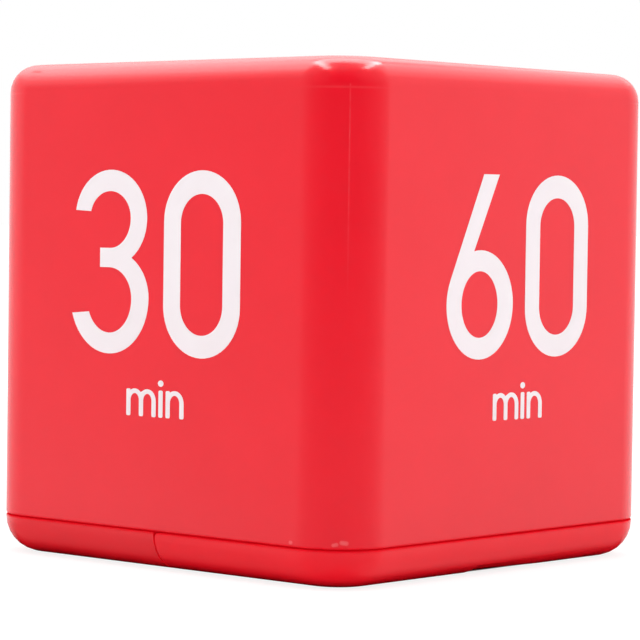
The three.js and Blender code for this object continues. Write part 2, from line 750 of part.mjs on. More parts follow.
// Shallow ramp for a thumb, which runs down over the foot round and out towards +Y, with grip
// bars across it
function gripCut() {
  const rise = GRIP_DEPTH / GRIP_WIDTH;
  const lean = new THREE.Matrix4().makeShear(0, 0, rise, -rise, 0, 0);
  lean.setPosition(rise * GRIP_FRONT, 0, -rise * GRIP_FRONT);
  const deep = parallelBlock(HALF - GRIP_DEPTH, GRIP_DEPTH, HEIGHT, { lowR: FOOT_R - GRIP_DEPTH });
  const start = HALF - GRIP_LENGTH;
  const width = [-GRIP_FRONT, GRIP_WIDTH - GRIP_FRONT + OVERRUN];
  const region = box([start, HALF + OVERRUN], width, [-OVERRUN, GRIP_H]);
  const firstBar = start + GRIP_PITCH;
  const barY = GRIP_PITCH + GRIP_BAR_LENGTH / 2 - GRIP_FRONT;
  const bars = Array.from({ length: GRIP_BARS }, (_, i) =>
    centredBox(firstBar + i * GRIP_PITCH, barY, GRIP_BAR, GRIP_BAR_LENGTH, [-OVERRUN, WALL]),
  );
  return cut(region, [deep.transform(lean.toArray()), ...bars]);
}

// Rounds the two upper corners of the door where its sides meet the base
function doorCornerCut() {
  const across = [-HALF - OVERRUN, HALF + OVERRUN];
  const x = DOOR_EDGE + DOOR_CORNER_R;
  const z = SKIRT_TOP - DOOR_CORNER_R;
  return box([DOOR_EDGE - OVERRUN, x], across, [z, SKIRT_TOP + OVERRUN]).subtract(
    bar(x, z, DOOR_CORNER_R, across),
  );
}

function batteryDoor() {
  const outside = parallelBlock(HALF, 0, SKIRT_TOP, { lowR: FOOT_R, highR: BASE_RIM_R });
  const inside = parallelBlock(INSIDE, FLOOR, SKIRT_TOP + OVERRUN, { lowR: FOOT_R - WALL });
  const across = [-HALF - OVERRUN, HALF + OVERRUN];
  const plusX = box([DOOR_EDGE, HALF + OVERRUN], across, [-OVERRUN, HEIGHT]);
  const tray = outside.subtract(inside).intersect(plusX);
  const body = join([tray, ...doorRails(), ...doorTongues(), ...doorRibs()]);
  return named("battery_door", "baseRed", cut(body, [gripCut(), doorCornerCut()]));
}

// Display

function displayLens() {
  const top = HEIGHT - LENS_DROP;
  const lens = plate(
    0,
    0,
    VIEW_X + 2 * LENS_MARGIN,
    VIEW_Y + 2 * LENS_MARGIN,
    VIEW_R + LENS_MARGIN,
    [top - LENS_T, top],
  );
  return named("display_lens", "clear", lens);
}

function displayGlass() {
  const front = centredBox(0, 0, GLASS_X, GLASS_Y, [GLASS_TOP - GLASS_PLATE, GLASS_TOP]);
  const rear = centredBox(
    0,
    0,
    GLASS_X - 2 * (GLASS_LEDGE + FIT),
    GLASS_Y - 2 * GLASS_STEP,
    [GLASS_LOW, GLASS_TOP - GLASS_PLATE],
  );
  return named("display_glass", "glass", front.add(rear));
}

function holderPegs(margin) {
  const x = GLASS_X / 2 + FIT + HOLDER_WALL / 2;
  return BOTH_SIDES.map((side) =>
    column(side * x, 0, PEG_R + margin, [BOARD_LOW, BOARD_TOP + GLASS_RISE], FINE_SIDES),
  );
}

function displayHolder() {
  const pocketX = GLASS_X + 2 * FIT;
  const pocketY = GLASS_Y + 2 * FIT;
  const frame = plate(0, 0, pocketX + 2 * HOLDER_WALL, pocketY + 2 * HOLDER_WALL, HOLDER_WALL, [
    BOARD_TOP + BOND,
    GLASS_TOP - HOLDER_DROP,
  ]);
  const pocket = centredBox(0, 0, pocketX, pocketY, [GLASS_TOP - GLASS_PLATE - BOND, HEIGHT]);
  const well = centredBox(0, 0, GLASS_X - 2 * GLASS_LEDGE, GLASS_Y, [BOARD_LOW, HEIGHT]);
  return named(
    "display_holder",
    "whitePlastic",
    join([cut(frame, [pocket, well]), ...holderPegs(0)]),
  );
}

// Rubber strips that carry the board's signals up to the front plate of the glass
function displayStrips() {
  const y = GLASS_Y / 2 - GLASS_STEP / 2 + FIT / 2;
  return BOTH_SIDES.map((side) => {
    const strip = centredBox(0, side * y, GLASS_X - 2 * (GLASS_LEDGE + FIT), STRIP_T, [
      BOARD_TOP + BOND,
      GLASS_TOP - GLASS_PLATE - BOND,
    ]);
    return named(side < 0 ? "display_strip_front" : "display_strip_rear", "rubber", strip);
  });
}

// Main board

function mainBoard() {
  const sheet = plate(0, 0, BOARD_X, BOARD_Y, BOARD_R, [BOARD_LOW, BOARD_TOP]);
  const holes = fourCorners(BOARD_BOSS_X, BOARD_BOSS_Y).map(([x, y]) =>
    column(x, y, BOARD_SCREW.shank + FIT, [BOARD_LOW - OVERRUN, BOARD_TOP + OVERRUN], FINE_SIDES),
  );
  return named("main_board", "board", cut(sheet, [...holes, ...holderPegs(FIT)]));
}

function boardScrews() {
  const z = BOARD_LOW - BOND - BOARD_SCREW.headH;
  return fourCorners(BOARD_BOSS_X, BOARD_BOSS_Y).map(([x, y], i) => {
    const screw = named("board_screw_" + (i + 1), "steel", screwSolid(BOARD_SCREW));
    screw.position.set(x, y, z);
    return screw;
  });
}

// Resin drop over the controller, hanging under the board
function controllerDrop() {
  const arc = Array.from({ length: INNER_STEPS + 1 }, (_, i) => {
    const angle = ((i / INNER_STEPS) * Math.PI) / 2;
    return [BLOB_R * Math.sin(angle), -BLOB_H * Math.cos(angle)];
  });
  const drop = named("controller_drop", "resin", lathe([...arc, [0, 0]], MID_SIDES));
  drop.position.z = BOARD_LOW - BOND;
  return drop;
}

function crystal() {
  const can = bar(0, 0, CRYSTAL_R, [-CRYSTAL_L / 2, CRYSTAL_L / 2], FINE_SIDES);
  const mesh = named("clock_crystal", "nickel", can);
  mesh.position.set(EXTRAS_X, -EXTRAS_Y, BOARD_LOW - BOND - CRYSTAL_R);
  return mesh;
}

function capacitor() {
  const groove = CAPACITOR_R / 10;
  const neck = CAPACITOR_H / 5;
  const can = lathe([
    [0, -CAPACITOR_H],
    [CAPACITOR_R, -CAPACITOR_H],
    [CAPACITOR_R, -neck - groove],
    [CAPACITOR_R - groove, -neck],
    [CAPACITOR_R, -neck + groove],
    [CAPACITOR_R, 0],
    [0, 0],
  ]);
  const mesh = named("capacitor", "blackPlastic", can);
  mesh.position.set(-EXTRAS_X, EXTRAS_Y, BOARD_LOW - BOND);
  return mesh;
}

// Bobbin coil that lifts the voltage for the sounder
function sounderCoil() {
  const drum = lathe([
    [0, -COIL_H],
    [COIL_R, -COIL_H],
    [COIL_R, COIL_FLANGE - COIL_H],
    [COIL_R - COIL_GROOVE, COIL_FLANGE - COIL_H],
    [COIL_R - COIL_GROOVE, -COIL_FLANGE],
    [COIL_R, -COIL_FLANGE],
    [COIL_R, 0],
    [0, 0],
  ]);
  const mesh = named("sounder_coil", "copper", drum);
  mesh.position.set(EXTRAS_X, EXTRAS_Y, BOARD_LOW - BOND);
  return mesh;
}

function transistor() {
  const round = column(0, 0, TRANSISTOR_R, [-TRANSISTOR_H, 0]);
  const flat = box([-OVERRUN, OVERRUN], [TRANSISTOR_FLAT, OVERRUN], [-TRANSISTOR_H - OVERRUN, OVERRUN]);
  const mesh = named("transistor", "blackPlastic", round.subtract(flat));
  mesh.position.set(-EXTRAS_X, -EXTRAS_Y, BOARD_LOW - BOND);
  return mesh;
}

// Ball switches, each along its own X with its stopper at the inner end

function ballCan() {
  const cup = bar(0, 0, CAN_R, [STOPPER_T + BOND, CAN_L + STOPPER_T], MID_SIDES);
  const bore = bar(0, 0, CAN_R - CAN_WALL, [0, CAN_L + STOPPER_T - CAN_WALL], MID_SIDES);
  return cup.subtract(bore);
}

function ballStopper() {
  const disc = bar(0, 0, CAN_R, [0, STOPPER_T], MID_SIDES);
  const pins = BOTH_SIDES.map((side) => {
    const out = bar(side * STOPPER_PIN_Y, 0, STOPPER_PIN_R, [-STOPPER_PIN_OUT, STOPPER_T / 2], FINE_SIDES);
    const up = column(
      side * STOPPER_PIN_Y,
      -STOPPER_PIN_OUT,
      STOPPER_PIN_R,
      [-STOPPER_PIN_R, CAN_R],
      FINE_SIDES,
    );
    return out.add(up);
  });
  return join([disc, ...pins]);
}

function ballSwitch(direction, angle, start) {
  const group = new THREE.Group();
  const can = named("ball_can_" + direction, "nickel", ballCan());
  const stopper = named("ball_stopper_" + direction, "blackPlastic", ballStopper());
  const sphere = solidOf(new THREE.SphereGeometry(BALL_R, FINE_SIDES, FINE_SIDES / 2));
  const ball = named("ball_" + direction, "steel", sphere);
  const floorZ = -(CAN_R - CAN_WALL - BALL_R - FIT);
  ball.position.set(0, CAN_L + STOPPER_T - CAN_WALL - FIT - BALL_R, floorZ);
  group.add(can, stopper, ball);
  group.rotation.z = angle;
  group.position.set(-start * Math.sin(angle), start * Math.cos(angle), BOARD_LOW - BOND - CAN_R);
  return group;
}

function ballSwitches() {
  return [
    ballSwitch("back", 0, CAN_START_Y),
    ballSwitch("left", Math.PI / 2, CAN_START_X),
    ballSwitch("front", Math.PI, CAN_START_Y),
    ballSwitch("right", -Math.PI / 2, CAN_START_X),
  ];
}

// Cells and their contacts. The first cell's button looks to +Y, the second one's to -Y.

function cell(name, x, direction) {
  const body = lathe([
    [0, 0],
    [CELL_R - CELL_RIM, 0],
    [CELL_R, CELL_RIM],
    [CELL_R, CELL_L - CELL_RIM],
    [CELL_R - CELL_RIM, CELL_L],
    [BUTTON_R, CELL_L],
    [BUTTON_R, CELL_L + BUTTON_H],
    [0, CELL_L + BUTTON_H],
  ]);
  const mesh = named(name, "cellSleeve", body);
  mesh.rotation.x = (-direction * Math.PI) / 2;
  const tip = PLATE_INNER - BOND;
  mesh.position.set(x, direction * (tip - CELL_L - BUTTON_H), CELL_Z);
  return mesh;
}

class SpringCurve extends THREE.Curve {
  constructor(length) {
    super();
    this.length = length;
  }
  getPoint(t, target = new THREE.Vector3()) {
    const radius = SPRING_WIDE + (SPRING_NARROW - SPRING_WIDE) * t;
    const angle = t * SPRING_TURNS * 2 * Math.PI;
    return target.set(radius * Math.cos(angle), this.length * t, radius * Math.sin(angle));
  }
}

// Conical spring that stands on a plate at y = 0 and looks along +Y
function spring(length) {
  const section = new THREE.Shape();
  section.absarc(0, 0, SPRING_WIRE, 0, 2 * Math.PI);
  const turnSteps = 10;
  const geometry = new THREE.ExtrudeGeometry(section, {
    steps: Math.ceil(SPRING_TURNS * turnSteps),
    curveSegments: 3,
    extrudePath: new SpringCurve(length),
  });
  return solidOf(geometry);
}

// Plate with corners clipped to the round of its trough
function contactPlate(x) {
  const z = [CELL_Z - CONTACT_H / 2, CELL_Z + CONTACT_H / 2];
  const sheet = centredBox(x, CONTACT_T / 2, CONTACT_X, CONTACT_T, z);
  return sheet.intersect(bar(x, CELL_Z, CELL_R, [-OVERRUN, OVERRUN]));
}

function springAt(x) {
  const start = SPRING_WIRE - CONTACT_T / 4;
  const coil = spring(SPRING_ROOM - start - SPRING_WIRE - BOND);
  return coil.translate([x, CONTACT_T + start, CELL_Z]);
}

// A plate that stands against the end wall at +Y is turned round, which also mirrors its X
function atEnd(mesh, side) {
  const wall = WELL_HALF - BOND;
  mesh.rotation.z = side > 0 ? Math.PI : 0;
  mesh.position.set(side > 0 ? 2 * WELL_X : 0, side * wall, 0);
  return mesh;
}

function contacts() {
  const [first, second] = cellPlaces();
  const bridge = join([
    contactPlate(first),
    contactPlate(second),
    centredBox(WELL_X, CONTACT_T / 2, CELL_PITCH, CONTACT_T, [CELL_Z - CONTACT_TAIL, CELL_Z]),
    springAt(first),
  ]);
  // Turned round at the +Y end, the first cell's place is the second's
  const positive = contactPlate(second);
  const negative = contactPlate(first).add(springAt(first));
  return [
    atEnd(named("contact_bridge", "nickel", bridge), -1),
    atEnd(named("contact_positive", "nickel", positive), 1),
    atEnd(named("contact_negative", "nickel", negative), 1),
  ];
}

function cells() {
  const [first, second] = cellPlaces();
  return [cell("cell_1", first, 1), cell("cell_2", second, -1)];
}

// Fasteners of the base

function coverScrews() {
  return BOTH_SIDES.map((side) => {
    const screw = named(side < 0 ? "cover_screw_front" : "cover_screw_rear", "steel", screwSolid(COVER_SCREW));
    screw.position.set(-COVER_POST, side * COVER_POST, COVER_SINK - BOND - COVER_SCREW.headH);
    return screw;
  });
}

// Power switch at its off end, with the knob towards -X

function switchKnob() {
  const x = SWITCH_X - SWITCH_TRAVEL / 2;
  const plateLow = PAD_TOP + FIT;
  const plateTop = plateLow + KNOB_PLATE_T;
  const stem = centredBox(x, SWITCH_Y, KNOB_X, KNOB_Y, [KNOB_DROP, plateLow + KNOB_PLATE_T / 2]);
  const flange = centredBox(x, SWITCH_Y, KNOB_PLATE_X, KNOB_PLATE_Y, [plateLow, plateTop]);
  const prongs = BOTH_SIDES.map((side) =>
    centredBox(
      x + side * (SLIDER_STEM / 2 + FIT + KNOB_FORK_T / 2),
      SWITCH_Y,
      KNOB_FORK_T,
      KNOB_Y,
      [plateLow, plateTop + KNOB_FORK_H],
    ),
  );
  const pitch = KNOB_X / (KNOB_GROOVES + 1);
  const grooves = Array.from({ length: KNOB_GROOVES }, (_, i) =>
    centredBox(x - KNOB_X / 2 + (i + 1) * pitch, SWITCH_Y, KNOB_GROOVE, KNOB_Y + OVERRUN, [
      -OVERRUN,
      KNOB_DROP + KNOB_GROOVE_DEPTH,
    ]),
  );
  return named("switch_knob", "blackPlastic", cut(join([stem, flange, ...prongs]), grooves));
}

function switchCarrier() {
  const x = SWITCH_X - SWITCH_TRAVEL / 2;
  const low = PAD_TOP + FIT + KNOB_PLATE_T + FIT;
  const blockLow = CASE_LOW + CASE_WALL + FIT;
  const stem = centredBox(x, SWITCH_Y, SLIDER_STEM, SLIDER_STEM_Y, [low, blockLow + SLIDER_H / 2]);
  const block = centredBox(x, SWITCH_Y, SLIDER_X, SLIDER_Y, [blockLow, blockLow + SLIDER_H]);
  return named("switch_carrier", "whitePlastic", stem.add(block));
}

function switchCase() {
  const roomX = SLIDER_X + SWITCH_TRAVEL + 2 * FIT;
  const roomY = SLIDER_Y + 2 * FIT;
  const outside = centredBox(SWITCH_X, SWITCH_Y, roomX + 2 * CASE_WALL, roomY + 2 * CASE_WALL, [
    CASE_LOW,
    CASE_TOP,
  ]);
  const room = centredBox(SWITCH_X, SWITCH_Y, roomX, roomY, [CASE_LOW + CASE_WALL, CASE_TOP - CASE_WALL]);
  const slot = centredBox(
    SWITCH_X,
    SWITCH_Y,
    SLIDER_STEM + SWITCH_TRAVEL + 2 * FIT,
    SLIDER_STEM_Y + 2 * FIT,
    [CASE_LOW - OVERRUN, CASE_LOW + CASE_WALL + FIT],
  );
  return named("switch_case", "steel", cut(outside, [room, slot]));
}

function switchBoard() {
  const z = [SWITCH_BOARD_LOW, SWITCH_BOARD_LOW + SWITCH_BOARD_T];
  const sheet = centredBox(SWITCH_X, SWITCH_Y, SWITCH_BOARD_X, SWITCH_BOARD_Y, z);
  const holes = BOTH_SIDES.map((side) =>
    column(
      SWITCH_X + side * SWITCH_BOSS_X,
      SWITCH_Y,
      SWITCH_SCREW.shank + FIT,
      [0, HEIGHT],
      FINE_SIDES,
    ),
  );
  return named("switch_board", "board", cut(sheet, holes));
}

function switchScrews() {
  const seat = SWITCH_BOARD_LOW + SWITCH_BOARD_T + BOND;
  return BOTH_SIDES.map((side) => {
    const name = side < 0 ? "switch_screw_left" : "switch_screw_right";
    const screw = named(name, "steel", screwSolid(SWITCH_SCREW));
    screw.rotation.x = Math.PI;
    screw.position.set(SWITCH_X + side * SWITCH_BOSS_X, SWITCH_Y, seat + SWITCH_SCREW.headH);
    return screw;
  });
}

// Sounder

function sounder() {
  const low = FLOOR + SOUNDER_CHAMBER + BOND;
  const brass = column(SOUNDER_X, SOUNDER_Y, BRASS_R, [low, low + BRASS_T]);
  const ceramicLow = low + BRASS_T + BOND / 2;
  const ceramic = column(SOUNDER_X, SOUNDER_Y, CERAMIC_R, [ceramicLow, ceramicLow + CERAMIC_T]);
  return [named("sounder_disc", "brass", brass), named("sounder_ceramic", "ceramic", ceramic)];
}

const timer = new THREE.Group();
timer.add(
  mainShell(),
  baseCover(),
  batteryDoor(),
  displayLens(),
  displayGlass(),
  displayHolder(),
  ...displayStrips(),
  mainBoard(),
  ...boardScrews(),
  controllerDrop(),
  crystal(),
  capacitor(),
  sounderCoil(),
  transistor(),
  ...ballSwitches(),
  ...cells(),
  ...contacts(),
  ...coverScrews(),
  switchKnob(),
  switchCarrier(),
  switchCase(),
  switchBoard(),
  ...switchScrews(),
  ...sounder(),
);

export default timer;
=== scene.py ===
"""Cube timer: looks, print, small marks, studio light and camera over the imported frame."""

import math
from functools import reduce

import bpy
from mathutils import Matrix, Vector
from mathutils.geometry import tessellate_polygon


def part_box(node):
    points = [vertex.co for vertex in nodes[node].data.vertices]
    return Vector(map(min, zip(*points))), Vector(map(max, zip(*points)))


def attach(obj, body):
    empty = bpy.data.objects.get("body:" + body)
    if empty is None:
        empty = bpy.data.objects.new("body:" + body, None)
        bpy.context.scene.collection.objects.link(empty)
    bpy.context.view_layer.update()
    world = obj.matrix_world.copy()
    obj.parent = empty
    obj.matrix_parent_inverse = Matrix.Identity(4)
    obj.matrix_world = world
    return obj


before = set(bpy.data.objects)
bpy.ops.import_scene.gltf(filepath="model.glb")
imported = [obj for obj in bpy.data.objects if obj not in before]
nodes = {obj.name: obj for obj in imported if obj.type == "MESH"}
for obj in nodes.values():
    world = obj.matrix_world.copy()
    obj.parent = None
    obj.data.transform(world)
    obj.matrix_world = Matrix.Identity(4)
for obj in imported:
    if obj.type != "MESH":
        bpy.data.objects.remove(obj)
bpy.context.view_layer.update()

MM = 0.001


def middle_of(name):
    """The middle of a node's box, in millimetres."""
    low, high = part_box(name)
    return (low + high) / 2 / MM


# Places read from the frame, in millimetres
SHELL_LOW_CORNER, SHELL_HIGH_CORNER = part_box("main_shell")
HALF = SHELL_HIGH_CORNER.x / MM
SHELL_LOW = SHELL_LOW_CORNER.z / MM
HEIGHT = SHELL_HIGH_CORNER.z / MM
GLASS_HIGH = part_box("display_glass")[1].z / MM
SWITCH_X = middle_of("switch_case").x
SWITCH_Y = middle_of("switch_knob").y

# The housing's rounds and gaps, in millimetres, as the solids have them
EDGE_R = 7.65
TOP_R = 3.64
FOOT_R = 4.7
TOP_ROUND_LOW = HEIGHT - TOP_R
SEAM_GAP = 0.12
SEAM_MIDDLE = SHELL_LOW - SEAM_GAP / 2
DOOR_GAP = 0.3
DOOR_GAP_MIDDLE = 0.25

# Node helpers


class Graph:
    """A node tree with short ways to add and link nodes."""

    def __init__(self, tree, coordinates="Object"):
        self.tree = tree
        self.place = self.add("ShaderNodeTexCoord").outputs[coordinates]

    def add(self, kind, inputs=None, **settings):
        made = self.tree.nodes.new(kind)
        for key, value in settings.items():
            setattr(made, key, value)
        for key, value in (inputs or {}).items():
            self.set(made.inputs[key], value)
        return made

    def set(self, socket, value):
        if isinstance(value, bpy.types.NodeSocket):
            self.tree.links.new(value, socket)
        else:
            socket.default_value = value

    def math(self, operation, a, b=0.0, clamp=False):
        made = self.add("ShaderNodeMath", {0: a, 1: b}, operation=operation, use_clamp=clamp)
        return made.outputs[0]

    def off(self, length, middle_mm):
        """How far a length is from another, either way."""
        return self.math("ABSOLUTE", self.math("SUBTRACT", length, middle_mm * MM))

    def most(self, values):
        """The largest of some values."""
        return reduce(lambda a, b: self.math("MAXIMUM", a, b), values)

    def noise(self, size_mm, detail=3.0, roughness=0.5, place=None):
        inputs = {
            "Vector": place or self.place,
            "Scale": 1.0 / (size_mm * MM),
            "Detail": detail,
            "Roughness": roughness,
        }
        return self.add("ShaderNodeTexNoise", inputs).outputs["Fac"]

    def stretch(self, scale):
        made = self.add("ShaderNodeMapping", {"Vector": self.place, "Scale": scale})
        return made.outputs["Vector"]

    def remap(self, value, low, high, to_low, to_high, smooth=False):
        made = self.add(
            "ShaderNodeMapRange",
            {"Value": value, "From Min": low, "From Max": high, "To Min": to_low, "To Max": to_high},
            interpolation_type="SMOOTHSTEP" if smooth else "LINEAR",
        )
        return made.outputs["Result"]

    def fade(self, length, near_mm, far_mm, level=1.0, smooth=False):
        """A level up to the nearer length, and 0 past the farther one."""
        return self.remap(length, near_mm * MM, far_mm * MM, level, 0.0, smooth)

    def rise(self, length, near_mm, far_mm, level=1.0, smooth=False):
        """0 up to the nearer length, and a level past the farther one."""
        return self.remap(length, near_mm * MM, far_mm * MM, 0.0, level, smooth)

    def blend(self, factor, a, b):
        """The first colour where the factor is 0, the second where it is 1."""
        made = self.add("ShaderNodeMix", data_type="RGBA")
        self.set(made.inputs[0], factor)
        for socket, value in ((made.inputs[6], a), (made.inputs[7], b)):
            self.set(socket, (*value, 1.0) if isinstance(value, tuple) else value)
        return made.outputs[2]

    def axes(self):
        return self.add("ShaderNodeSeparateXYZ", {"Vector": self.place}).outputs

    def bump(self, height, distance_mm, strength=1.0, normal=None):
        inputs = {"Height": height, "Distance": distance_mm * MM, "Strength": strength}
        if normal is not None:
            inputs["Normal"] = normal
        return self.add("ShaderNodeBump", inputs).outputs["Normal"]

    def vector(self, operation, a, b=None):
        inputs = {0: a} if b is None else {0: a, 1: b}
        return self.add("ShaderNodeVectorMath", inputs, operation=operation).outputs

    def near(self, point_mm, radius_mm, feather_mm):
        """1 inside a ball round a point, 0 outside it."""
        gap = self.vector("DISTANCE", self.place, tuple(c * MM for c in point_mm))["Value"]
        return self.fade(gap, radius_mm - feather_mm, radius_mm, smooth=True)

    def near_line(self, start_mm, end_mm, radius_mm):
        """1 on the line between two points, fading to 0 at a radius from it."""
        run = (Vector(end_mm) - Vector(start_mm)) * MM
        past = self.vector("SUBTRACT", self.place, tuple(c * MM for c in start_mm))["Vector"]
        share = self.vector("DOT_PRODUCT", past, run / run.length_squared)["Value"]
        share = self.math("ADD", share, 0.0, clamp=True)
        along = self.add("ShaderNodeVectorMath", {0: run, "Scale": share}, operation="SCALE")
        gap = self.vector("DISTANCE", past, along.outputs["Vector"])["Value"]
        return self.fade(gap, 0.0, radius_mm, smooth=True)


class Look(Graph):
    """A material's nodes."""

    def __init__(self, name):
        self.material = bpy.data.materials.new(name)
        self.material.use_nodes = True
        super().__init__(self.material.node_tree)
        self.shader = self.tree.nodes["Principled BSDF"]

    def finish(self, colour, roughness, normal=None, **constants):
        self.set(self.shader.inputs["Base Color"], colour)
        self.set(self.shader.inputs["Roughness"], roughness)
        if normal is not None:
            self.set(self.shader.inputs["Normal"], normal)
        for key, value in constants.items():
            self.shader.inputs[key.replace("_", " ")].default_value = value
        return self.material


# Red plastic of the housing

RED = (0.82, 0.0066, 0.0202)
RED_DEEP = (0.79, 0.0056, 0.0182)
# The door and the base cover are the shell's plastic with painted light and shade: the door a lighter red
# and the cover a darker red than the shell, for how light falls on them
DOOR_RED_PAINTED_LIGHTER = (0.885, 0.0066, 0.0195)
DOOR_DEEP_PAINTED_LIGHTER = (0.855, 0.0056, 0.0175)
COVER_RED_PAINTED_DARKER = (0.79, 0.0068, 0.0175)
COVER_DEEP_PAINTED_DARKER = (0.76, 0.0058, 0.0155)
PALE_RED = (0.93, 0.42, 0.45)
NICK_AND_HIGHLIGHT_RED = (0.95, 0.42, 0.43)

# The dull band along the level seam, whose red is deepened there as painted shade: its middle, how far it
# is full to each side, and its reach
SEAM_SHADE = SHELL_LOW - 0.09
RIM_FULL = 0.1
RIM_REACH = 0.46
SEAM_PAINTED_SHADE_RED = (0.79, 0.004, 0.013)

# Painted light: a red glow that the faces inside the gaps emit, standing in for the light that the
# plastic passes on: its levels, and how far past the gaps' faces it is full and reaches
PAINTED_GAP_GLOW_RED = (1.0, 0.012, 0.03, 1.0)
SEAM_GLOW = 0.11
DOOR_GAP_GLOW = 0.095
GLOW_FULL = 0.001
GLOW_REACH = 0.02

# Parting lines, in millimetres: half their width; for an upright one, by how much x and y differ
# on it and between which heights it comes up; for the level one, how far it lies below the top
# round and between which places it comes up towards a corner
LINE_REACH = 0.2
EDGE_LINE_OFF = 0.44
EDGE_LINE_RISE = (30, 57)
TOP_LINE_DOWN = 0.25
TOP_LINE_RISE = (23.5, 28.0)

# Where the shell's inner ribs reach its top round, in millimetres
RIB_SPOTS = ((-30.75, -23.2, 63.0), (-30.75, 23.2, 63.0), (-23.2, -30.75, 63.0), (-23.2, 30.75, 63.0))
RIB_SPOT_R = 1.1

# Pale marks on the lower rim of the shell, both rougher nicks and a painted highlight on the rim edge:
# both ends and radius in millimetres
RIM_NICKS_AND_HIGHLIGHTS = (
    ((23.3, -31.75, 5.6), (23.45, -31.75, 5.6), 0.34),
    ((28.75, -30.1, 5.6), (29.05, -29.85, 5.68), 0.34),
    ((29.5, -29.45, 5.9), (29.9, -29.0, 5.82), 0.4),
)


def spark_texture(g, normal=None):
    """Fine even mould texture with a slow waviness under it, as moulded satin plastic shows."""
    grain = g.noise(0.16, detail=2.0, roughness=0.6)
    wave = g.noise(9.0, detail=2.0, roughness=0.4)
    fine = g.bump(grain, 0.004, 0.5, normal)
    return g.bump(wave, 0.02, 0.35, fine)


def parting_lines(g):
    """Mould marks: down the middle of each upright edge, and where the top's round starts."""
    x, y, z = g.axes()
    out_x, out_y = g.math("ABSOLUTE", x), g.math("ABSOLUTE", y)
    off = g.off(g.math("SUBTRACT", out_x, out_y), EDGE_LINE_OFF)
    upright = g.fade(off, 0.03, LINE_REACH, smooth=True)
    upper = g.rise(z, *EDGE_LINE_RISE, smooth=True)
    below = g.fade(z, TOP_ROUND_LOW, TOP_ROUND_LOW + 0.3)
    broken = g.remap(g.noise(2.2), 0.36, 0.62, 0.25, 1.0)
    upright = g.math("MULTIPLY", g.math("MULTIPLY", upright, upper), g.math("MULTIPLY", below, broken))
    corner = g.rise(g.math("MINIMUM", out_x, out_y), *TOP_LINE_RISE, 0.4, smooth=True)
    ring = g.fade(g.off(z, TOP_ROUND_LOW - TOP_LINE_DOWN), 0.04, LINE_REACH, smooth=True)
    return g.math("MAXIMUM", upright, g.math("MULTIPLY", ring, corner))


def rim_nicks_and_highlights(g):
    nicks_and_highlights = g.most([g.near_line(*nick) for nick in RIM_NICKS_AND_HIGHLIGHTS])
    torn = g.remap(g.noise(0.9, detail=2.0), 0.35, 0.65, 0.7, 1.0)
    return g.math("MULTIPLY", nicks_and_highlights, torn)


def even_round(g):
    """The surface's normal, but the top round's own where the shell's ribs stand a hair out of it."""
    x, y, z = g.axes()
    sides = []
    for value in (x, y):
        past = g.math("SUBTRACT", g.math("ABSOLUTE", value), (HALF - TOP_R) * MM)
        sides.append(g.math("MULTIPLY", g.math("MAXIMUM", past, 0.0), g.math("SIGN", value)))
    up = g.math("SUBTRACT", z, TOP_ROUND_LOW * MM)
    run = g.add("ShaderNodeCombineXYZ", {0: sides[0], 1: sides[1], 2: up}).outputs[0]
    turned = g.add(
        "ShaderNodeVectorTransform",
        {0: run},
        vector_type="NORMAL",
        convert_from="OBJECT",
        convert_to="WORLD",
    )
    ideal = g.vector("NORMALIZE", turned.outputs[0])["Vector"]
    spots = g.most([g.near(spot, RIB_SPOT_R, 0.3) for spot in RIB_SPOTS])
    plain = g.add("ShaderNodeNewGeometry").outputs["Normal"]
    return g.add("ShaderNodeMix", {0: spots, 4: plain, 5: ideal}, data_type="VECTOR").outputs[1]


def painted_gap_glow(g, length, middle_mm, gap_mm, level):
    """The painted glow's level on the faces inside a gap, and 0 elsewhere."""
    half = gap_mm / 2
    return g.fade(g.off(length, middle_mm), half + GLOW_FULL, half + GLOW_REACH, level)


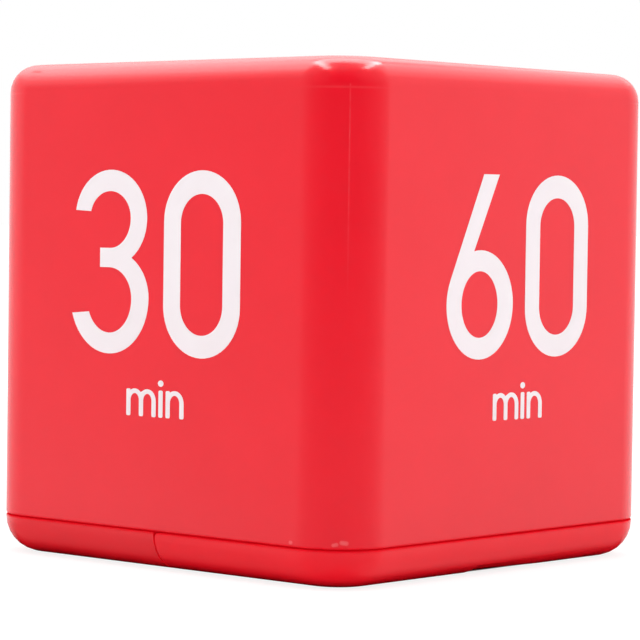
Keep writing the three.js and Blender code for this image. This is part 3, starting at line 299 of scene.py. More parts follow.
def red_plastic(name, colour, deep, shell):
    """Slightly translucent satin plastic. Its rims along the level seam are dull and carry painted shade,
    and the faces in the gaps glow with painted light that stands in for the light the plastic passes on."""
    g = Look(name)
    axes = g.axes()
    cloud = g.noise(14.0, detail=4.0, roughness=0.55)
    speck = g.noise(0.3, detail=2.0)
    tone = g.blend(g.remap(cloud, 0.35, 0.7, 0.0, 1.0), colour, deep)
    tone = g.blend(g.remap(speck, 0.68, 0.86, 0.0, 0.025), tone, PALE_RED)
    rough = g.remap(g.noise(1.1, detail=5.0), 0.3, 0.7, 0.17, 0.22)
    # Painted shade: the red deepens along the level seam, where the gloss is also taken off
    rim = g.fade(g.off(axes["Z"], SEAM_SHADE), RIM_FULL, RIM_REACH)
    tone = g.blend(g.math("MULTIPLY", rim, 0.7), tone, SEAM_PAINTED_SHADE_RED)
    g.set(g.shader.inputs["Specular IOR Level"], g.remap(rim, 0.0, 1.0, 0.5, 0.0))
    # Painted light: the faces inside the level seam and the door's gap emit a faint red glow
    light = painted_gap_glow(g, axes["Z"], SEAM_MIDDLE, SEAM_GAP, SEAM_GLOW)
    if shell:
        lines = parting_lines(g)
        tone = g.blend(g.math("MULTIPLY", lines, 0.1), tone, PALE_RED)
        # Pale streaks on the lower rim: rougher nicks, painted also as a highlight on the rim edge
        nicks_and_highlights = rim_nicks_and_highlights(g)
        tone = g.blend(g.math("MULTIPLY", nicks_and_highlights, 0.26), tone, NICK_AND_HIGHLIGHT_RED)
        rough = g.math("ADD", rough, g.math("MULTIPLY", nicks_and_highlights, 0.3))
        normal = spark_texture(g, g.bump(lines, 0.02, 0.4, even_round(g)))
    else:
        upright = painted_gap_glow(g, axes["X"], DOOR_GAP_MIDDLE, DOOR_GAP, DOOR_GAP_GLOW)
        light = g.math("MAXIMUM", light, upright)
        normal = spark_texture(g)
    g.set(g.shader.inputs["Emission Strength"], light)
    return g.finish(
        tone,
        rough,
        normal,
        Subsurface_Weight=0.12,
        Subsurface_Radius=(1.0, 0.12, 0.12),
        Subsurface_Scale=0.9 * MM,
        Emission_Color=PAINTED_GAP_GLOW_RED,
    )


# Print, plastics and metals


def print_ink():
    """Opaque white pad print, with a hint of the red under it and a very slightly uneven film."""
    g = Look("white_ink")
    film = g.noise(0.6, detail=4.0, roughness=0.6)
    slow = g.noise(5.0, detail=2.0)
    tone = g.blend(g.remap(slow, 0.3, 0.7, 0.0, 1.0), (0.85, 0.79, 0.815), (0.835, 0.77, 0.795))
    tone = g.blend(g.remap(film, 0.64, 0.78, 0.0, 0.2), tone, (0.9, 0.7, 0.72))
    rough = g.remap(film, 0.3, 0.7, 0.5, 0.62)
    return g.finish(tone, rough, g.bump(film, 0.004, 0.6))


def moulded(name, colour, other, rough, grain_mm=0.3, bump_mm=0.006):
    g = Look(name)
    cloud = g.noise(6.0, detail=4.0)
    grain = g.noise(grain_mm, roughness=0.6)
    tone = g.blend(g.remap(cloud, 0.35, 0.68, 0.0, 1.0), colour, other)
    return g.finish(tone, g.remap(grain, 0.3, 0.7, *rough), g.bump(grain, bump_mm, 0.6))


def metal(name, colour, tarnish, rough, along=(1, 1, 1), grain_mm=0.15):
    """Plated or rolled metal: grain drawn out along one direction and a slight tarnish."""
    g = Look(name)
    drawn = g.noise(grain_mm, detail=4.0, roughness=0.65, place=g.stretch(along))
    stain = g.noise(2.5, detail=5.0, roughness=0.6)
    tone = g.blend(g.remap(stain, 0.5, 0.75, 0.0, 0.7), colour, tarnish)
    return g.finish(tone, g.remap(drawn, 0.3, 0.7, *rough), g.bump(drawn, 0.003, 0.5), Metallic=1.0)


def clear_window():
    g = Look("clear_window")
    haze = g.noise(0.5, detail=5.0, roughness=0.65)
    rough = g.remap(haze, 0.45, 0.8, 0.02, 0.07)
    tone = g.blend(g.remap(haze, 0.5, 0.9, 0.0, 0.4), (0.96, 0.975, 0.97), (0.9, 0.93, 0.93))
    return g.finish(
        tone,
        rough,
        g.bump(haze, 0.0006, 0.5),
        Transmission_Weight=1.0,
        IOR=1.49,
        Specular_IOR_Level=0.15,
    )


# Half the display's view inside its dark margin, in x and in y
VIEW_HALF_X = 17.2
VIEW_HALF_Y = 8.1


def display_material():
    """Reflective display: grey-green polariser with a dark printed margin round the view."""
    g = Look("display_glass")
    axes = g.axes()
    weave = g.noise(0.08, detail=2.0)
    drift = g.noise(12.0, detail=2.0)
    base = g.blend(g.remap(drift, 0.3, 0.7, 0.0, 1.0), (0.36, 0.4, 0.33), (0.4, 0.43, 0.36))
    base = g.blend(g.remap(weave, 0.4, 0.8, 0.0, 0.25), base, (0.5, 0.53, 0.47))
    margin = g.most(
        [
            g.rise(g.math("ABSOLUTE", axes[key]), half, half + 0.1)
            for key, half in (("X", VIEW_HALF_X), ("Y", VIEW_HALF_Y))
        ]
    )
    tone = g.blend(margin, base, (0.02, 0.02, 0.022))
    rough = g.remap(weave, 0.3, 0.7, 0.3, 0.4)
    return g.finish(tone, rough, g.bump(weave, 0.001, 0.4), Specular_IOR_Level=0.2)


def board_material(name, pads, pad_radius_mm, pitch_mm):
    """Green solder mask over tracks, with tinned rings round the screws."""
    g = Look(name)
    tracks = g.add(
        "ShaderNodeTexBrick",
        {
            "Vector": g.place,
            "Scale": 1.0 / (pitch_mm * MM * 4),
            "Color1": (1, 1, 1, 1),
            "Color2": (0.7, 0.7, 0.7, 1),
            "Mortar": (0, 0, 0, 1),
            "Mortar Size": 0.035,
            "Mortar Smooth": 0.2,
            "Brick Width": 1.7,
            "Row Height": 0.42,
        },
        offset=0.37,
    ).outputs["Color"]
    raised = g.remap(tracks, 0.0, 0.3, 1.0, 0.0)
    cloud = g.noise(4.0, detail=4.0)
    mask = g.blend(g.remap(cloud, 0.3, 0.7, 0.0, 1.0), (0.018, 0.1, 0.035), (0.024, 0.125, 0.045))
    tone = g.blend(raised, mask, (0.04, 0.2, 0.075))
    ring = g.most([g.near(point, pad_radius_mm, 0.15) for point in pads])
    tone = g.blend(ring, tone, (0.62, 0.6, 0.56))
    rough = g.math("SUBTRACT", g.remap(cloud, 0.3, 0.7, 0.32, 0.42), g.math("MULTIPLY", ring, 0.08))
    return g.finish(tone, rough, g.bump(raised, 0.03, 0.7))


# Lengths along a cell: bare metal at the button's end and at the other, and the pale band's end
BARE_TIP = 1.55
BARE_END = 0.4
BAND_END = 11.0


def cell_material(name, direction):
    """Shrink sleeve round a cell, whose button points along +Y or -Y: dark body, pale band near the
    button, bare metal at both ends."""
    g = Look(name)
    low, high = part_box(name)
    tip = high.y if direction > 0 else -low.y
    length = (high - low).y / MM
    to_tip = g.math("SUBTRACT", tip, g.math("MULTIPLY", g.axes()["Y"], float(direction)))
    bare_tip = g.fade(to_tip, BARE_TIP, BARE_TIP + 0.1)
    bare_end = g.rise(to_tip, length - BARE_END - 0.1, length - BARE_END)
    band = g.fade(to_tip, BAND_END, BAND_END + 0.1)
    fine = g.noise(0.5, detail=4.0)
    streak = g.noise(0.3, place=g.stretch((1.0, 0.05, 1.0)))
    dark = g.blend(g.remap(fine, 0.3, 0.7, 0.0, 1.0), (0.028, 0.034, 0.045), (0.035, 0.042, 0.055))
    pale = g.blend(g.remap(fine, 0.3, 0.7, 0.0, 1.0), (0.5, 0.5, 0.49), (0.44, 0.44, 0.44))
    tone = g.blend(band, dark, pale)
    bare = g.math("MAXIMUM", bare_tip, bare_end)
    tone = g.blend(bare, tone, (0.66, 0.65, 0.62))
    g.set(g.shader.inputs["Metallic"], g.math("MULTIPLY", bare, 0.95))
    rough = g.remap(streak, 0.3, 0.7, 0.22, 0.34)
    height = g.math("ADD", g.math("ADD", band, bare), g.math("MULTIPLY", streak, 0.1))
    return g.finish(tone, rough, g.bump(height, 0.04, 0.4))


def waves(g, length, pitch_mm):
    """A sine along a length, from -1 to 1."""
    return g.math("SINE", g.math("MULTIPLY", length, 2 * math.pi / (pitch_mm * MM)))


# The coil's winding: from turn to turn, and half its height
WIRE_PITCH = 0.22
WINDING_HALF = 1.45


def wound_coil():
    """Enamelled copper turns between black ferrite flanges, darker between the turns as painted shade in
    the grooves.
    """
    g = Look("wound_coil")
    height = g.axes()["Z"]
    # Painted shade: the copper darkens in the grooves between turns
    wire_and_groove_shade = g.remap(waves(g, height, WIRE_PITCH), -1.0, 1.0, 0.0, 1.0)
    copper = g.blend(wire_and_groove_shade, (0.2, 0.055, 0.02), (0.62, 0.22, 0.085))
    flange = g.rise(g.off(height, middle_of("sounder_coil").z), WINDING_HALF, WINDING_HALF + 0.05)
    tone = g.blend(flange, copper, (0.02, 0.02, 0.022))
    g.set(g.shader.inputs["Metallic"], g.math("SUBTRACT", 0.9, g.math("MULTIPLY", flange, 0.9)))
    grain = g.noise(0.15)
    rough = g.math("ADD", g.remap(grain, 0.3, 0.7, 0.26, 0.34), g.math("MULTIPLY", flange, 0.3))
    turns = g.math("MULTIPLY", wire_and_groove_shade, g.math("SUBTRACT", 1.0, flange))
    return g.finish(tone, rough, g.bump(turns, 0.06, 0.8))


def layered_rubber():
    """Silicone strip with thin carbon layers across it."""
    g = Look("layered_rubber")
    stripe = g.remap(waves(g, g.axes()["X"], 0.36), 0.1, 0.4, 0.0, 1.0)
    tone = g.blend(stripe, (0.5, 0.49, 0.47), (0.018, 0.018, 0.02))
    grain = g.noise(0.2)
    return g.finish(tone, g.remap(grain, 0.3, 0.7, 0.62, 0.75), g.bump(stripe, 0.01, 0.5))


def turned_disc(name, colour, other, rough):
    """Thin metal or silvered disc with faint rings from turning round the sounder's middle."""
    g = Look(name)
    out = g.vector("DISTANCE", g.place, middle_of("sounder_disc") * MM)["Value"]
    groove = g.remap(waves(g, out, 0.35), -1.0, 1.0, 0.0, 1.0)
    stain = g.noise(2.0, detail=5.0)
    tone = g.blend(g.remap(stain, 0.4, 0.7, 0.0, 1.0), colour, other)
    return g.finish(tone, g.remap(groove, 0.0, 1.0, *rough), g.bump(groove, 0.002, 0.5), Metallic=0.9)


# Dressing the solids


def facet_group():
    """Geometry nodes: welds the import's split vertices and shades smooth below a crease angle."""
    group = bpy.data.node_groups.new("soft_facets", "GeometryNodeTree")
    group.interface.new_socket("Geometry", in_out="INPUT", socket_type="NodeSocketGeometry")
    crease = group.interface.new_socket("Crease", in_out="INPUT", socket_type="NodeSocketFloat")
    group.interface.new_socket("Geometry", in_out="OUTPUT", socket_type="NodeSocketGeometry")
    add, link = group.nodes.new, group.links.new
    start, end = add("NodeGroupInput"), add("NodeGroupOutput")
    weld = add("GeometryNodeMergeByDistance")
    weld.inputs["Distance"].default_value = 0.5e-6
    angle = add("GeometryNodeInputMeshEdgeAngle")
    sharp = add("FunctionNodeCompare")
    sharp.data_type, sharp.operation = "FLOAT", "GREATER_THAN"
    faces, edges = add("GeometryNodeSetShadeSmooth"), add("GeometryNodeSetShadeSmooth")
    faces.domain, edges.domain = "FACE", "EDGE"
    faces.inputs["Shade Smooth"].default_value = True
    edges.inputs["Shade Smooth"].default_value = False
    link(start.outputs["Geometry"], weld.inputs["Geometry"])
    link(weld.outputs["Geometry"], faces.inputs["Geometry"])
    link(faces.outputs["Geometry"], edges.inputs["Geometry"])
    link(angle.outputs["Unsigned Angle"], sharp.inputs[0])
    link(start.outputs["Crease"], sharp.inputs[1])
    link(sharp.outputs["Result"], edges.inputs["Selection"])
    link(edges.outputs["Geometry"], end.inputs["Geometry"])
    return group, crease.identifier


FACETS, CREASE = facet_group()


def dress(material, *names, crease_degrees=50.0):
    for name in names:
        piece = nodes[name]
        piece.data.materials.clear()
        piece.data.materials.append(material)
        soft = piece.modifiers.new("soft_facets", "NODES")
        soft.node_group = FACETS
        soft[CREASE] = math.radians(crease_degrees)
        even = piece.modifiers.new("even_normals", "WEIGHTED_NORMAL")
        even.keep_sharp = True
        even.weight = 50


def pads_round(screws, level_mm):
    """Where these screws stand on a board's face, in millimetres."""
    return [(middle_of(name).x, middle_of(name).y, level_mm) for name in screws]


BOARD_PADS = pads_round([f"board_screw_{i}" for i in range(1, 5)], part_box("main_board")[0].z / MM)
SWITCH_PADS = pads_round(["switch_screw_left", "switch_screw_right"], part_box("switch_board")[1].z / MM)

WHITE = moulded("white_plastic", (0.78, 0.77, 0.73), (0.74, 0.73, 0.69), (0.42, 0.55))
BLACK = moulded("black_plastic", (0.014, 0.014, 0.016), (0.02, 0.02, 0.022), (0.38, 0.5))
RESIN = moulded("potting_resin", (0.008, 0.008, 0.009), (0.014, 0.013, 0.013), (0.12, 0.22), 1.2, 0.02)
CAPACITOR = moulded("capacitor_sleeve", (0.012, 0.014, 0.03), (0.018, 0.02, 0.04), (0.2, 0.3), 0.5)
ZINC = metal("zinc_screw", (0.6, 0.6, 0.6), (0.42, 0.4, 0.36), (0.24, 0.42))
NICKEL = metal("nickel_sheet", (0.68, 0.66, 0.61), (0.5, 0.47, 0.41), (0.16, 0.3), (1, 1, 0.1))
BALL = metal("ball_steel", (0.78, 0.78, 0.79), (0.66, 0.65, 0.63), (0.06, 0.14), grain_mm=0.4)
CASE = metal("switch_case_steel", (0.7, 0.69, 0.66), (0.55, 0.53, 0.5), (0.2, 0.34), (0.1, 1, 1))
BRASS = turned_disc("rolled_brass", (0.78, 0.55, 0.2), (0.62, 0.4, 0.14), (0.22, 0.36))
SILVERED = turned_disc("silvered_ceramic", (0.8, 0.79, 0.76), (0.68, 0.66, 0.62), (0.3, 0.45))

dress(red_plastic("shell_plastic", RED, RED_DEEP, shell=True), "main_shell")
dress(red_plastic("cover_plastic", COVER_RED_PAINTED_DARKER, COVER_DEEP_PAINTED_DARKER, shell=False), "base_cover")
dress(red_plastic("door_plastic", DOOR_RED_PAINTED_LIGHTER, DOOR_DEEP_PAINTED_LIGHTER, shell=False), "battery_door")
dress(clear_window(), "display_lens", crease_degrees=35)
dress(display_material(), "display_glass", crease_degrees=30)
dress(layered_rubber(), "display_strip_front", "display_strip_rear", crease_degrees=30)
dress(WHITE, "display_holder")
dress(board_material("main_board", BOARD_PADS, 2.4, 0.8), "main_board")
dress(board_material("switch_board", SWITCH_PADS, 2.0, 0.7), "switch_board")
dress(ZINC, *[name for name in nodes if "screw" in name], crease_degrees=40)
dress(RESIN, "controller_drop")
dress(CAPACITOR, "capacitor")
dress(wound_coil(), "sounder_coil")
dress(BLACK, "transistor")
dress(NICKEL, "clock_crystal", "contact_bridge", "contact_positive", "contact_negative")
for direction in ("back", "left", "front", "right"):
    dress(NICKEL, "ball_can_" + direction)
    dress(BLACK, "ball_stopper_" + direction)
    dress(BALL, "ball_" + direction, crease_degrees=80)
dress(cell_material("cell_1", 1), "cell_1")
dress(cell_material("cell_2", -1), "cell_2")
dress(BLACK, "switch_knob", crease_degrees=35)
dress(WHITE, "switch_carrier", crease_degrees=35)
dress(CASE, "switch_case", crease_degrees=35)
dress(BRASS, "sounder_disc")
dress(SILVERED, "sounder_ceramic")

# Thin printed and raised marks


def added(name, data):
    """A new object in the scene."""
    made = bpy.data.objects.new(name, data)
    bpy.context.scene.collection.objects.link(made)
    return made


def arc(cx, cy, rx, ry, start, end, steps=28):
    """Points on an ellipse from one angle to another, in degrees, with so many steps in a half turn."""
    count = max(2, round(abs(end - start) / 180 * steps))
    angles = [math.radians(start + (end - start) * i / count) for i in range(count + 1)]
    return [(cx + rx * math.cos(a), cy + ry * math.sin(a)) for a in angles]


def oval(cx, cy, rx, ry, steps=28):
    return arc(cx, cy, rx, ry, 0, 360, steps)[:-1]


def shifted(shapes, du, dv=0.0):
    return [[[(u + du, v + dv) for u, v in loop] for loop in loops] for loops in shapes]


def prism(name, shapes, place, thickness, sink, material, body):
    """Closed thin solids from outlines. Each shape is a list of loops: the outer one, then holes.
    place turns (u, v, height) in millimetres into a point in the frame."""
    vertices, faces = [], []
    for loops in shapes:
        outlines = [[Vector((u, v, 0.0)) for u, v in loop] for loop in loops]
        flat = [point for outline in outlines for point in outline]
        base, count = len(vertices), len(flat)
        vertices += [place(p.x, p.y, height) for height in (thickness, -sink) for p in flat]
        for a, b, c in tessellate_polygon(outlines):
            if (flat[b] - flat[a]).cross(flat[c] - flat[a]).z <= 0:
                b, c = c, b
            faces.append((base + a, base + b, base + c))
            faces.append((base + count + a, base + count + c, base + count + b))
        start = base
        for index, outline in enumerate(outlines):
            size = len(outline)
            turn = sum(outline[i].cross(outline[(i + 1) % size]).z for i in range(size))
            outward = (turn > 0) == (index == 0)
            for i in range(size):
                a, b = start + i, start + (i + 1) % size
                faces.append((a, a + count, b + count, b) if outward else (b, b + count, a + count, a))
            start += size
    mesh = bpy.data.meshes.new(name)
    mesh.from_pydata([tuple(v) for v in vertices], [], faces)
    mesh.validate()
    mesh.update()
    mesh.materials.append(material)
    piece = added(name, mesh)
    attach(piece, body)


# Digits, in millimetres: u to the right, v above the table
DIGIT_LOW = 27.0
DIGIT_HIGH = 50.25


def digit_0():
    """Centred on u = 0, 13.1 wide."""
    outer = arc(0, 43.9, 6.55, 6.35, 0, 180) + arc(0, 33.4, 6.55, 6.35, 180, 360)
    inner = arc(-0.02, 43.75, 3.62, 3.6, 0, 180) + arc(-0.02, 33.5, 3.62, 3.65, 180, 360)
    return [[outer, inner]]


def digit_3():
    """Its bowls are centred near u = 0."""
    outer = (
        arc(0.1, 44.2, 6.45, 6.1, 171, -54.5)
        + arc(-0.1, 34.2, 7.05, 6.05, 56.0, 0)
        + arc(-0.1, 34.2, 7.05, 7.2, 0, -162)[1:]
    )
    inner = (
        arc(-0.1, 34.0, 4.0, 4.35, -156, 0)
        + arc(-0.1, 34.0, 4.0, 3.95, 0, 90)[1:]
        + [(-1.8, 37.95), (-1.8, 40.4)]
        + arc(0.0, 44.2, 3.65, 3.8, -90, 0)
        + arc(0.0, 44.2, 3.65, 3.4, 0, 166)[1:]
    )
    return [[outer + inner]]


def digit_6():
    """Its bowl is centred on u = 0."""
    rx, ry, middle = 6.6, 6.75, 34.0
    left, right, top = 0.45, 3.55, 50.2
    # Tangent from the stem's top left corner to the left of the bowl
    px, py = left / rx, (top - middle) / ry
    touch = math.degrees(math.atan2(py, px) + math.acos(1 / math.hypot(px, py)))
    crotch = math.degrees(math.acos(-1.35 / rx))
    outer = (
        [(left, top), (right, top)]
        + arc(0, middle, rx, ry, crotch, 0)
        + arc(0, middle, rx, 6.85, 0, -180)[1:]
        + arc(0, middle, rx, ry, 180, touch)[1:]
    )
    return [[outer, oval(-0.1, middle, 3.6, 4.15)]]


def digit_5():
    """Centred on u = 0."""
    outer = (
        [(-5.75, DIGIT_HIGH), (5.3, DIGIT_HIGH), (5.3, 47.4), (-2.95, 47.4), (-3.1, 40.6)]
        + arc(-0.1, 34.3, 6.95, 7.3, 108, 0)
        + arc(-0.1, 34.3, 6.95, 7.3, 0, -162)[1:]
    )
    inner = (
        arc(-0.1, 34.3, 3.95, 4.6, -156, 0)
        + arc(-0.1, 34.3, 3.95, 4.4, 0, 128)[1:]
        + [(-6.15, 37.8)]
    )
    return [[outer + inner]]


def digit_1():
    """Its stem's right edge is at u = 1.5."""
    stem = [(1.5, DIGIT_LOW), (1.5, DIGIT_HIGH), (-1.15, DIGIT_HIGH)]
    flag = [(-5.9, 46.4), (-5.9, 42.9), (-1.5, 46.5), (-1.5, DIGIT_LOW)]
    return [[stem + flag]]


# The word "min": its strokes, the softening of their ends, and where its stems stand
STROKE = 0.74
ARCH = 0.58
SOFT = 0.2
BASELINE = 19.35
X_TOP = 22.75
ARCH_RISE = 0.05
M_STEMS = (-4.55, -2.31, -0.08)
I_STEM = 1.13
N_STEMS = (2.39, 4.79)
DOT_MIDDLE = 23.62


def stem_end(x, top):
    """A stem's softened top from left to right, or its softened foot from right to left."""
    inner = STROKE / 2 - SOFT
    if top:
        level = X_TOP - SOFT
        return arc(x - inner, level, SOFT, SOFT, 180, 90, 6) + arc(x + inner, level, SOFT, SOFT, 90, 0, 6)
    level = BASELINE + SOFT
    return arc(x + inner, level, SOFT, SOFT, 360, 270, 6) + arc(x - inner, level, SOFT, SOFT, 270, 180, 6)


def arch_glyph(stems):
    """Lower-case n or m over these stem centres."""
    half = STROKE / 2
    points = stem_end(stems[0], True)
    spans = [((left + right) / 2, (right - left) / 2) for left, right in zip(stems, stems[1:])]
    for middle, reach in spans:
        radius = reach + half
        begin = 180 - math.degrees(math.acos((reach - half) / radius))
        last = middle == spans[-1][0]
        # Where another arch follows, this one stops just short of the shared stem's middle
        stop = 0 if last else math.degrees(math.acos((reach - half * 0.2) / radius))
        points += arc(middle, X_TOP + ARCH_RISE - radius, radius, radius, begin, stop, 16)
    points += stem_end(stems[-1], False)
    for (middle, reach), stem in zip(reversed(spans), reversed(stems[:-1])):
        level = X_TOP + ARCH_RISE - (reach + half)
        points += arc(middle, level, reach - half, reach + half - ARCH, 0, 180, 16)
        points += stem_end(stem, False)
    return [[points]]


def word_min():
    stem = stem_end(I_STEM, True) + stem_end(I_STEM, False)
    dot = oval(I_STEM, DOT_MIDDLE, 0.48, 0.4, 12)
    return arch_glyph(M_STEMS) + [[stem]] + [[dot]] + arch_glyph(N_STEMS)


SIDES = {
    # Out of the face, and to the right as one looks at it
    "-y": (Vector((0, -1, 0)), Vector((1, 0, 0))),
    "+x": (Vector((1, 0, 0)), Vector((0, 1, 0))),
    "+y": (Vector((0, 1, 0)), Vector((-1, 0, 0))),
    "-x": (Vector((-1, 0, 0)), Vector((0, -1, 0))),
}

PRINTS = {
    # Side, digits, and how far "min" is shifted
    "30": ("-y", shifted(digit_3(), -8.1) + shifted(digit_0(), 8.0), (0.05, 0.0)),
    "60": ("+x", shifted(digit_6(), -6.5, 0.1) + shifted(digit_0(), 9.18, 0.15), (1.3, 0.12)),
    "5": ("+y", digit_5(), (0.0, 0.0)),
    "15": ("-x", shifted(digit_1(), -6.2) + shifted(digit_5(), 5.6), (0.0, 0.0)),
}
PRINT_T = 0.03
PRINT_SINK = 0.02


def on_side(side):
    out, right = SIDES[side]
    return lambda u, v, h: (out * (HALF + h) + right * u + Vector((0, 0, v))) * MM


INK = print_ink()
for label, (side, digits, word_shift) in PRINTS.items():
    for name, shapes in (
        ("print_" + label, digits),
        ("print_min_" + label, shifted(word_min(), *word_shift)),
    ):
        prism(name, shapes, on_side(side), PRINT_T, PRINT_SINK, INK, "housing")

# Display: the four digits and colon that show faintly while it is off

SEGMENT_DIGITS = (-15.2, -8.0, 1.4, 8.6)
SEGMENT_HIGH = 11.5
SEGMENT_WIDE = 6.0
SEGMENT_THICK = 1.15
SEGMENT_GAP = 0.12
SEGMENT_LEAN = 0.1
SEGMENT_FILM = 0.012
COLON_X = -0.15
COLON_LEVELS = (-2.3, 2.1)
COLON_R = 0.62


def bar(start, end):
    """A segment with mitred ends, along u."""
    half = SEGMENT_THICK / 2
    return [
        (start, 0.0),
        (start + half, -half),
        (end - half, -half),
        (end, 0.0),
        (end - half, half),
        (start + half, half),
    ]


def seven_segments(x):
    """The segments of one leaning digit whose lower left corner is at x."""
    half, middle = SEGMENT_THICK / 2, SEGMENT_HIGH / 2
    outlines = []
    for level in (half, middle, SEGMENT_HIGH - half):
        across = bar(half + SEGMENT_GAP, SEGMENT_WIDE - half - SEGMENT_GAP)
        outlines.append([(u, level + v) for u, v in across])
    for side in (half, SEGMENT_WIDE - half):
        for low, high in ((half, middle), (middle, SEGMENT_HIGH - half)):
            outlines.append([(side - v, u) for u, v in bar(low + SEGMENT_GAP, high - SEGMENT_GAP)])
    return [[[(x + u + SEGMENT_LEAN * v, v - middle) for u, v in outline]] for outline in outlines]


def on_glass(u, v, h):
    return Vector((u, v, GLASS_HIGH + h)) * MM


segments = []
for start in SEGMENT_DIGITS:
    segments += seven_segments(start)
for level in COLON_LEVELS:
    segments.append([oval(COLON_X + SEGMENT_LEAN * level, level, COLON_R, COLON_R, 12)])
SEGMENT_INK = moulded("segment_film", (0.2, 0.225, 0.185), (0.21, 0.235, 0.195), (0.2, 0.3), 0.1, 0.001)
prism("display_segments", segments, on_glass, SEGMENT_FILM, 0.0, SEGMENT_INK, "housing")

# Underside: ON and OFF beside the switch, an arrow on the door

LETTER_HIGH = 1.9
LETTER_WIDE = 0.62 * LETTER_HIGH
LETTER_STROKE = 0.34
LETTER_SPACE = 1.3 * LETTER_STROKE
WORDS_ASIDE = 4.6
OFF_X = -3.9
ON_X = 4.1
ARROW = [[[(10.6, -2.6), (15.0, 0.0), (10.6, 2.6), (11.6, 0.0)]]]
MARK_H = 0.04
MARK_SINK = 0.05


def letter(kind):
    """Plain block letters O, N and F, whose lower left corner is at (0, 0)."""
    w, h, s = LETTER_WIDE, LETTER_HIGH, LETTER_STROKE
    if kind == "O":
        return [oval(w / 2, h / 2, w / 2, h / 2, 20), oval(w / 2, h / 2, w / 2 - s, h / 2 - s, 20)]
    if kind == "N":
        corner = 1.15 * s
        rising = [(0, 0), (s, 0), (s, 0.66 * h), (w - corner, 0), (w, 0)]
        falling = [(w, h), (w - s, h), (w - s, 0.34 * h), (corner, h), (0, h)]
        return [rising + falling]
    middle, short = 0.42 * h, 0.85 * w
    foot = [(0, 0), (s, 0), (s, middle), (short, middle), (short, middle + s), (s, middle + s)]
    return [foot + [(s, h - s), (w, h - s), (w, h), (0, h)]]


def word(text, u, v):
    """Letters side by side, centred on u and standing on v."""
    step = LETTER_WIDE + LETTER_SPACE
    start = u - (step * len(text) - LETTER_SPACE) / 2
    shapes = []
    for i, kind in enumerate(text):
        shapes += shifted([letter(kind)], start + i * step, v)
    return shapes


def on_underside(u, v, h):
    """Read from below, with +X to the right: v runs towards -Y."""
    return Vector((u, -v, -h)) * MM


MARK_RED = moulded("moulded_mark", (0.36, 0.006, 0.012), (0.34, 0.006, 0.011), (0.55, 0.65))
switch_words = word("OFF", SWITCH_X + OFF_X, WORDS_ASIDE - SWITCH_Y)
switch_words += word("ON", SWITCH_X + ON_X, WORDS_ASIDE - SWITCH_Y)
prism("switch_words", switch_words, on_underside, MARK_H, MARK_SINK, MARK_RED, "housing")
prism("door_arrow", ARROW, on_underside, MARK_H, MARK_SINK, MARK_RED, "door")

# Camera: place, heading, pitch and roll that fit the photograph's outline, in millimetres and degrees

CAMERA_AZIMUTH = 41.5
CAMERA_DISTANCE = 390.7
CAMERA_HEIGHT = 45.39
HEADING = 41.56
PITCH = 2.118
ROLL = 0.8
LENS = 165.15

# Level directions from the object: to the camera, and to the right as the camera sees it
AZIMUTH = math.radians(CAMERA_AZIMUTH)
FRONT = Vector((math.sin(AZIMUTH), -math.cos(AZIMUTH), 0))
RIGHT = Vector((-FRONT.y, FRONT.x, 0))


def make_camera():
    heading, pitch, roll = map(math.radians, (HEADING, PITCH, ROLL))
    ahead = Vector(
        (
            -math.sin(heading) * math.cos(pitch),
            math.cos(heading) * math.cos(pitch),
            -math.sin(pitch),
        )
    )
    level = Vector((math.cos(heading), math.sin(heading), 0))
    above = level.cross(ahead)
    right = math.cos(roll) * level + math.sin(roll) * above
    up = math.cos(roll) * above - math.sin(roll) * level
    data = bpy.data.cameras.new("camera")
    data.sensor_width = 36
    data.lens = LENS
    data.clip_start = 0.01
    data.clip_end = 30
    camera = added("camera", data)
    place = (FRONT * CAMERA_DISTANCE + Vector((0, 0, CAMERA_HEIGHT))) * MM
    rotation = Matrix((right, up, -ahead)).transposed()
    camera.matrix_world = Matrix.Translation(place) @ rotation.to_4x4()
    bpy.context.scene.camera = camera


# How bright the surroundings are in the object's gloss: beside it and behind it, on the floor
# towards the camera, near and far, and above the floor towards the camera
ROUND_LEVEL = 1.0
FLOOR_LEVEL = (0.38, 0.1)
FRONT_LEVEL = 0.05
# They dim from this cosine to the camera's direction on. On the floor, directions are taken from a
# point so many metres in front of the object's middle
FACING_LOW = -0.12
NEAR_CORNER = 0.04
# The mirrored floor is dark up to the object's foot and brightens between two half widths, in
# millimetres, along a curve with one power on the object's left and another elsewhere
FOOT_DARK = (29.5, 32.0)
FOOT_BRIGHTENS = (29.0, 60.0)
FOOT_CURVE = (0.68, 0.4)
# The faint shadow that the camera sees: its reach in metres, and how white the floor is inside it
SHADOW_REACH = (0.08, 0.3)
SHADOW_WHITE = 0.84
FLOOR_REACH = 5.0


def not_facing(g, direction):
    """0 straight towards the camera, rising to 1 just past the object's sides."""
    facing = g.vector("DOT_PRODUCT", direction, FRONT)["Value"]
    return g.math("POWER", g.remap(facing, FACING_LOW, 1.0, 1.0, 0.0), 2.0)


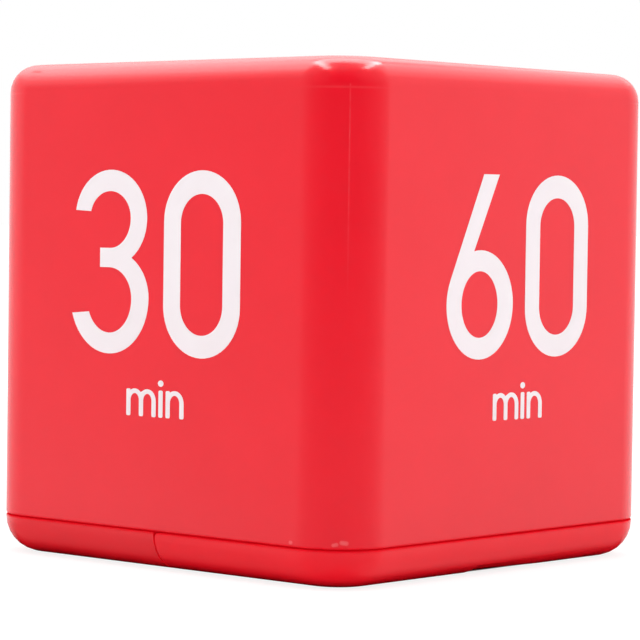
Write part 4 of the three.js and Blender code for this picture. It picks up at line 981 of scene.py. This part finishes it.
def floor_for_camera(g, far, speck):
    """White with a faint shadow near the object, and dark under it, so that no white shows through
    the gap beside the door."""
    corner = (HALF - EDGE_R) * MM
    past_corner = g.vector("SUBTRACT", g.vector("ABSOLUTE", g.place)["Vector"], (corner,) * 3)["Vector"]
    past_corner = g.vector("MAXIMUM", past_corner, (0.0, 0.0, 0.0))["Vector"]
    around = g.vector("LENGTH", past_corner)["Value"]
    foot = EDGE_R - FOOT_R
    open_share = g.rise(around, foot - 0.2, foot + 0.4)
    white_level = g.remap(far, *SHADOW_REACH, SHADOW_WHITE, 1.0, smooth=True)
    pale = g.blend(speck, (0.2, 0.2, 0.2), (0.215, 0.215, 0.215))
    shown = g.add("ShaderNodeBsdfDiffuse", {"Color": pale})
    glow = g.add("ShaderNodeEmission", {"Strength": g.math("MULTIPLY", white_level, open_share)})
    return g.add("ShaderNodeAddShader", {0: shown.outputs[0], 1: glow.outputs[0]}).outputs[0]


def floor_for_gloss(g, far):
    """Dimmer towards the camera, and dark beside the object's foot."""
    past = g.vector("SUBTRACT", g.place, FRONT * NEAR_CORNER)["Vector"]
    unit = g.vector("NORMALIZE", past)["Vector"]
    ahead = g.remap(far, 0.15, 0.8, *FLOOR_LEVEL)
    level = g.remap(not_facing(g, unit), 0.0, 1.0, ahead, ROUND_LEVEL)
    aside = g.vector("DOT_PRODUCT", unit, RIGHT)["Value"]
    axes = g.axes()
    outside = g.most([g.math("ABSOLUTE", axes[key]) for key in ("X", "Y")])
    power = g.remap(aside, -1.0, -0.6, *FOOT_CURVE)
    clear = g.math("POWER", g.rise(outside, *FOOT_BRIGHTENS), power)
    clear = g.math("MULTIPLY", clear, g.rise(outside, *FOOT_DARK, smooth=True))
    return g.add("ShaderNodeEmission", {"Strength": g.math("MULTIPLY", level, clear)}).outputs[0]


def make_floor():
    """One look for the camera, one for the object's gloss and glass, and pale grey for the rays
    that light the object."""
    g = Look("pale_floor")
    g.tree.nodes.remove(g.shader)
    path = g.add("ShaderNodeLightPath").outputs
    far = g.vector("LENGTH", g.place)["Value"]
    speck = g.remap(g.noise(3.0, detail=4.0), 0.3, 0.7, 0.0, 1.0)
    grey = g.blend(speck, (0.92, 0.92, 0.92), (0.94, 0.94, 0.94))
    plain = g.add("ShaderNodeBsdfDiffuse", {"Color": grey}).outputs[0]
    mirrored = g.math("MAXIMUM", path["Is Glossy Ray"], path["Is Transmission Ray"])
    indirect = g.add("ShaderNodeMixShader", {0: mirrored, 1: plain, 2: floor_for_gloss(g, far)})
    mixed = g.add(
        "ShaderNodeMixShader",
        {0: path["Is Camera Ray"], 1: indirect.outputs[0], 2: floor_for_camera(g, far, speck)},
    )
    g.set(g.tree.nodes["Material Output"].inputs["Surface"], mixed.outputs[0])
    mesh = bpy.data.meshes.new("floor")
    corners = [(FLOOR_REACH * u, FLOOR_REACH * v, 0) for u, v in ((-1, -1), (1, -1), (1, 1), (-1, 1))]
    mesh.from_pydata(corners, [], [(0, 1, 2, 3)])
    mesh.materials.append(g.material)
    added("floor", mesh)


def make_world():
    """White round the object, dimmer behind the photographer, and white to the camera."""
    world = bpy.data.worlds.new("studio")
    world.use_nodes = True
    bpy.context.scene.world = world
    g = Graph(world.node_tree, "Generated")
    path = g.add("ShaderNodeLightPath").outputs
    level = g.remap(not_facing(g, g.place), 0.0, 1.0, FRONT_LEVEL, ROUND_LEVEL)
    background = g.tree.nodes["Background"]
    background.inputs["Color"].default_value = (1, 1, 1, 1)
    g.set(background.inputs["Strength"], g.remap(path["Is Camera Ray"], 0.0, 1.0, level, 1.0))


# Boxes that light the object and don't show in its gloss, from above and from both sides of the
# camera: place and radiance. All are square and look at one point
FILLS = {
    "top_fill": ((0.0, 0.0, 0.8), 2.7),
    "fill_left": ((0.43, -0.615, 0.55), 1.15),
    "fill_right": ((0.43, 0.615, 0.55), 1.15),
}
FILL_SIDE = 0.8
LIT_POINT = Vector((0, 0, 0.03))

# Boxes overhead that only show in gloss: ends ahead, ends aside, radiance. Side by side they
# make a soft edged window behind the object with a brighter frame
MIRRORED_HEIGHT = 0.79
MIRRORED = {
    "far": ((-1.7, -1.0), (-1.0, 1.0), 0.8),
    "left_rear": ((-1.0, -0.6), (-0.84, -0.37), 1.6),
    "left": ((-0.6, -0.08), (-0.84, -0.37), 2.5),
    "left_middle": ((-0.9, -0.04), (-1.15, -0.84), 1.35),
    "left_outer": ((-0.7, 0.03), (-2.0, -1.15), 0.5),
    "middle": ((-1.0, -0.5), (-0.37, 0.33), 1.7),
    "bar": ((-0.5, -0.08), (-0.24, 0.33), 4.5),
    "bar_left": ((-0.38, 0.3), (-0.37, -0.24), 11.0),
    "bar_right": ((-0.6, 0.2), (0.33, 0.45), 10.0),
    "right": ((-1.0, -0.08), (0.45, 0.85), 0.85),
    "right_middle": ((-1.0, -0.1), (0.85, 1.2), 0.5),
}


def make_lamp(name, place, size, radiance, in_gloss):
    """Soft box, in metres towards the camera, to its right and up, whose face shines with this
    radiance. It either lights the object or only shows in its gloss."""
    ahead, aside, up = place
    data = bpy.data.lights.new(name, "AREA")
    data.shape = "RECTANGLE"
    data.size, data.size_y = size
    data.energy = radiance * math.pi * size[0] * size[1]
    lamp = added(name, data)
    lamp.location = FRONT * ahead + RIGHT * aside + Vector((0, 0, up))
    lamp.rotation_mode = "QUATERNION"
    if in_gloss:
        lamp.rotation_quaternion = Matrix.Rotation(AZIMUTH, 3, "Z").to_quaternion()
    else:
        lamp.rotation_quaternion = (LIT_POINT - lamp.location).to_track_quat("-Z", "Y")
    lamp.visible_diffuse = not in_gloss
    lamp.visible_transmission = not in_gloss
    lamp.visible_glossy = in_gloss


def make_lamps():
    for name, (place, radiance) in FILLS.items():
        make_lamp(name, place, (FILL_SIDE, FILL_SIDE), radiance, in_gloss=False)
    for name, ((rear, fore), (left, right), radiance) in MIRRORED.items():
        middle = ((rear + fore) / 2, (left + right) / 2, MIRRORED_HEIGHT)
        size = (right - left, fore - rear)
        make_lamp("mirrored_" + name, middle, size, radiance, in_gloss=True)


make_camera()
make_floor()
make_world()
make_lamps()

bpy.context.scene.view_settings.view_transform = "Standard"
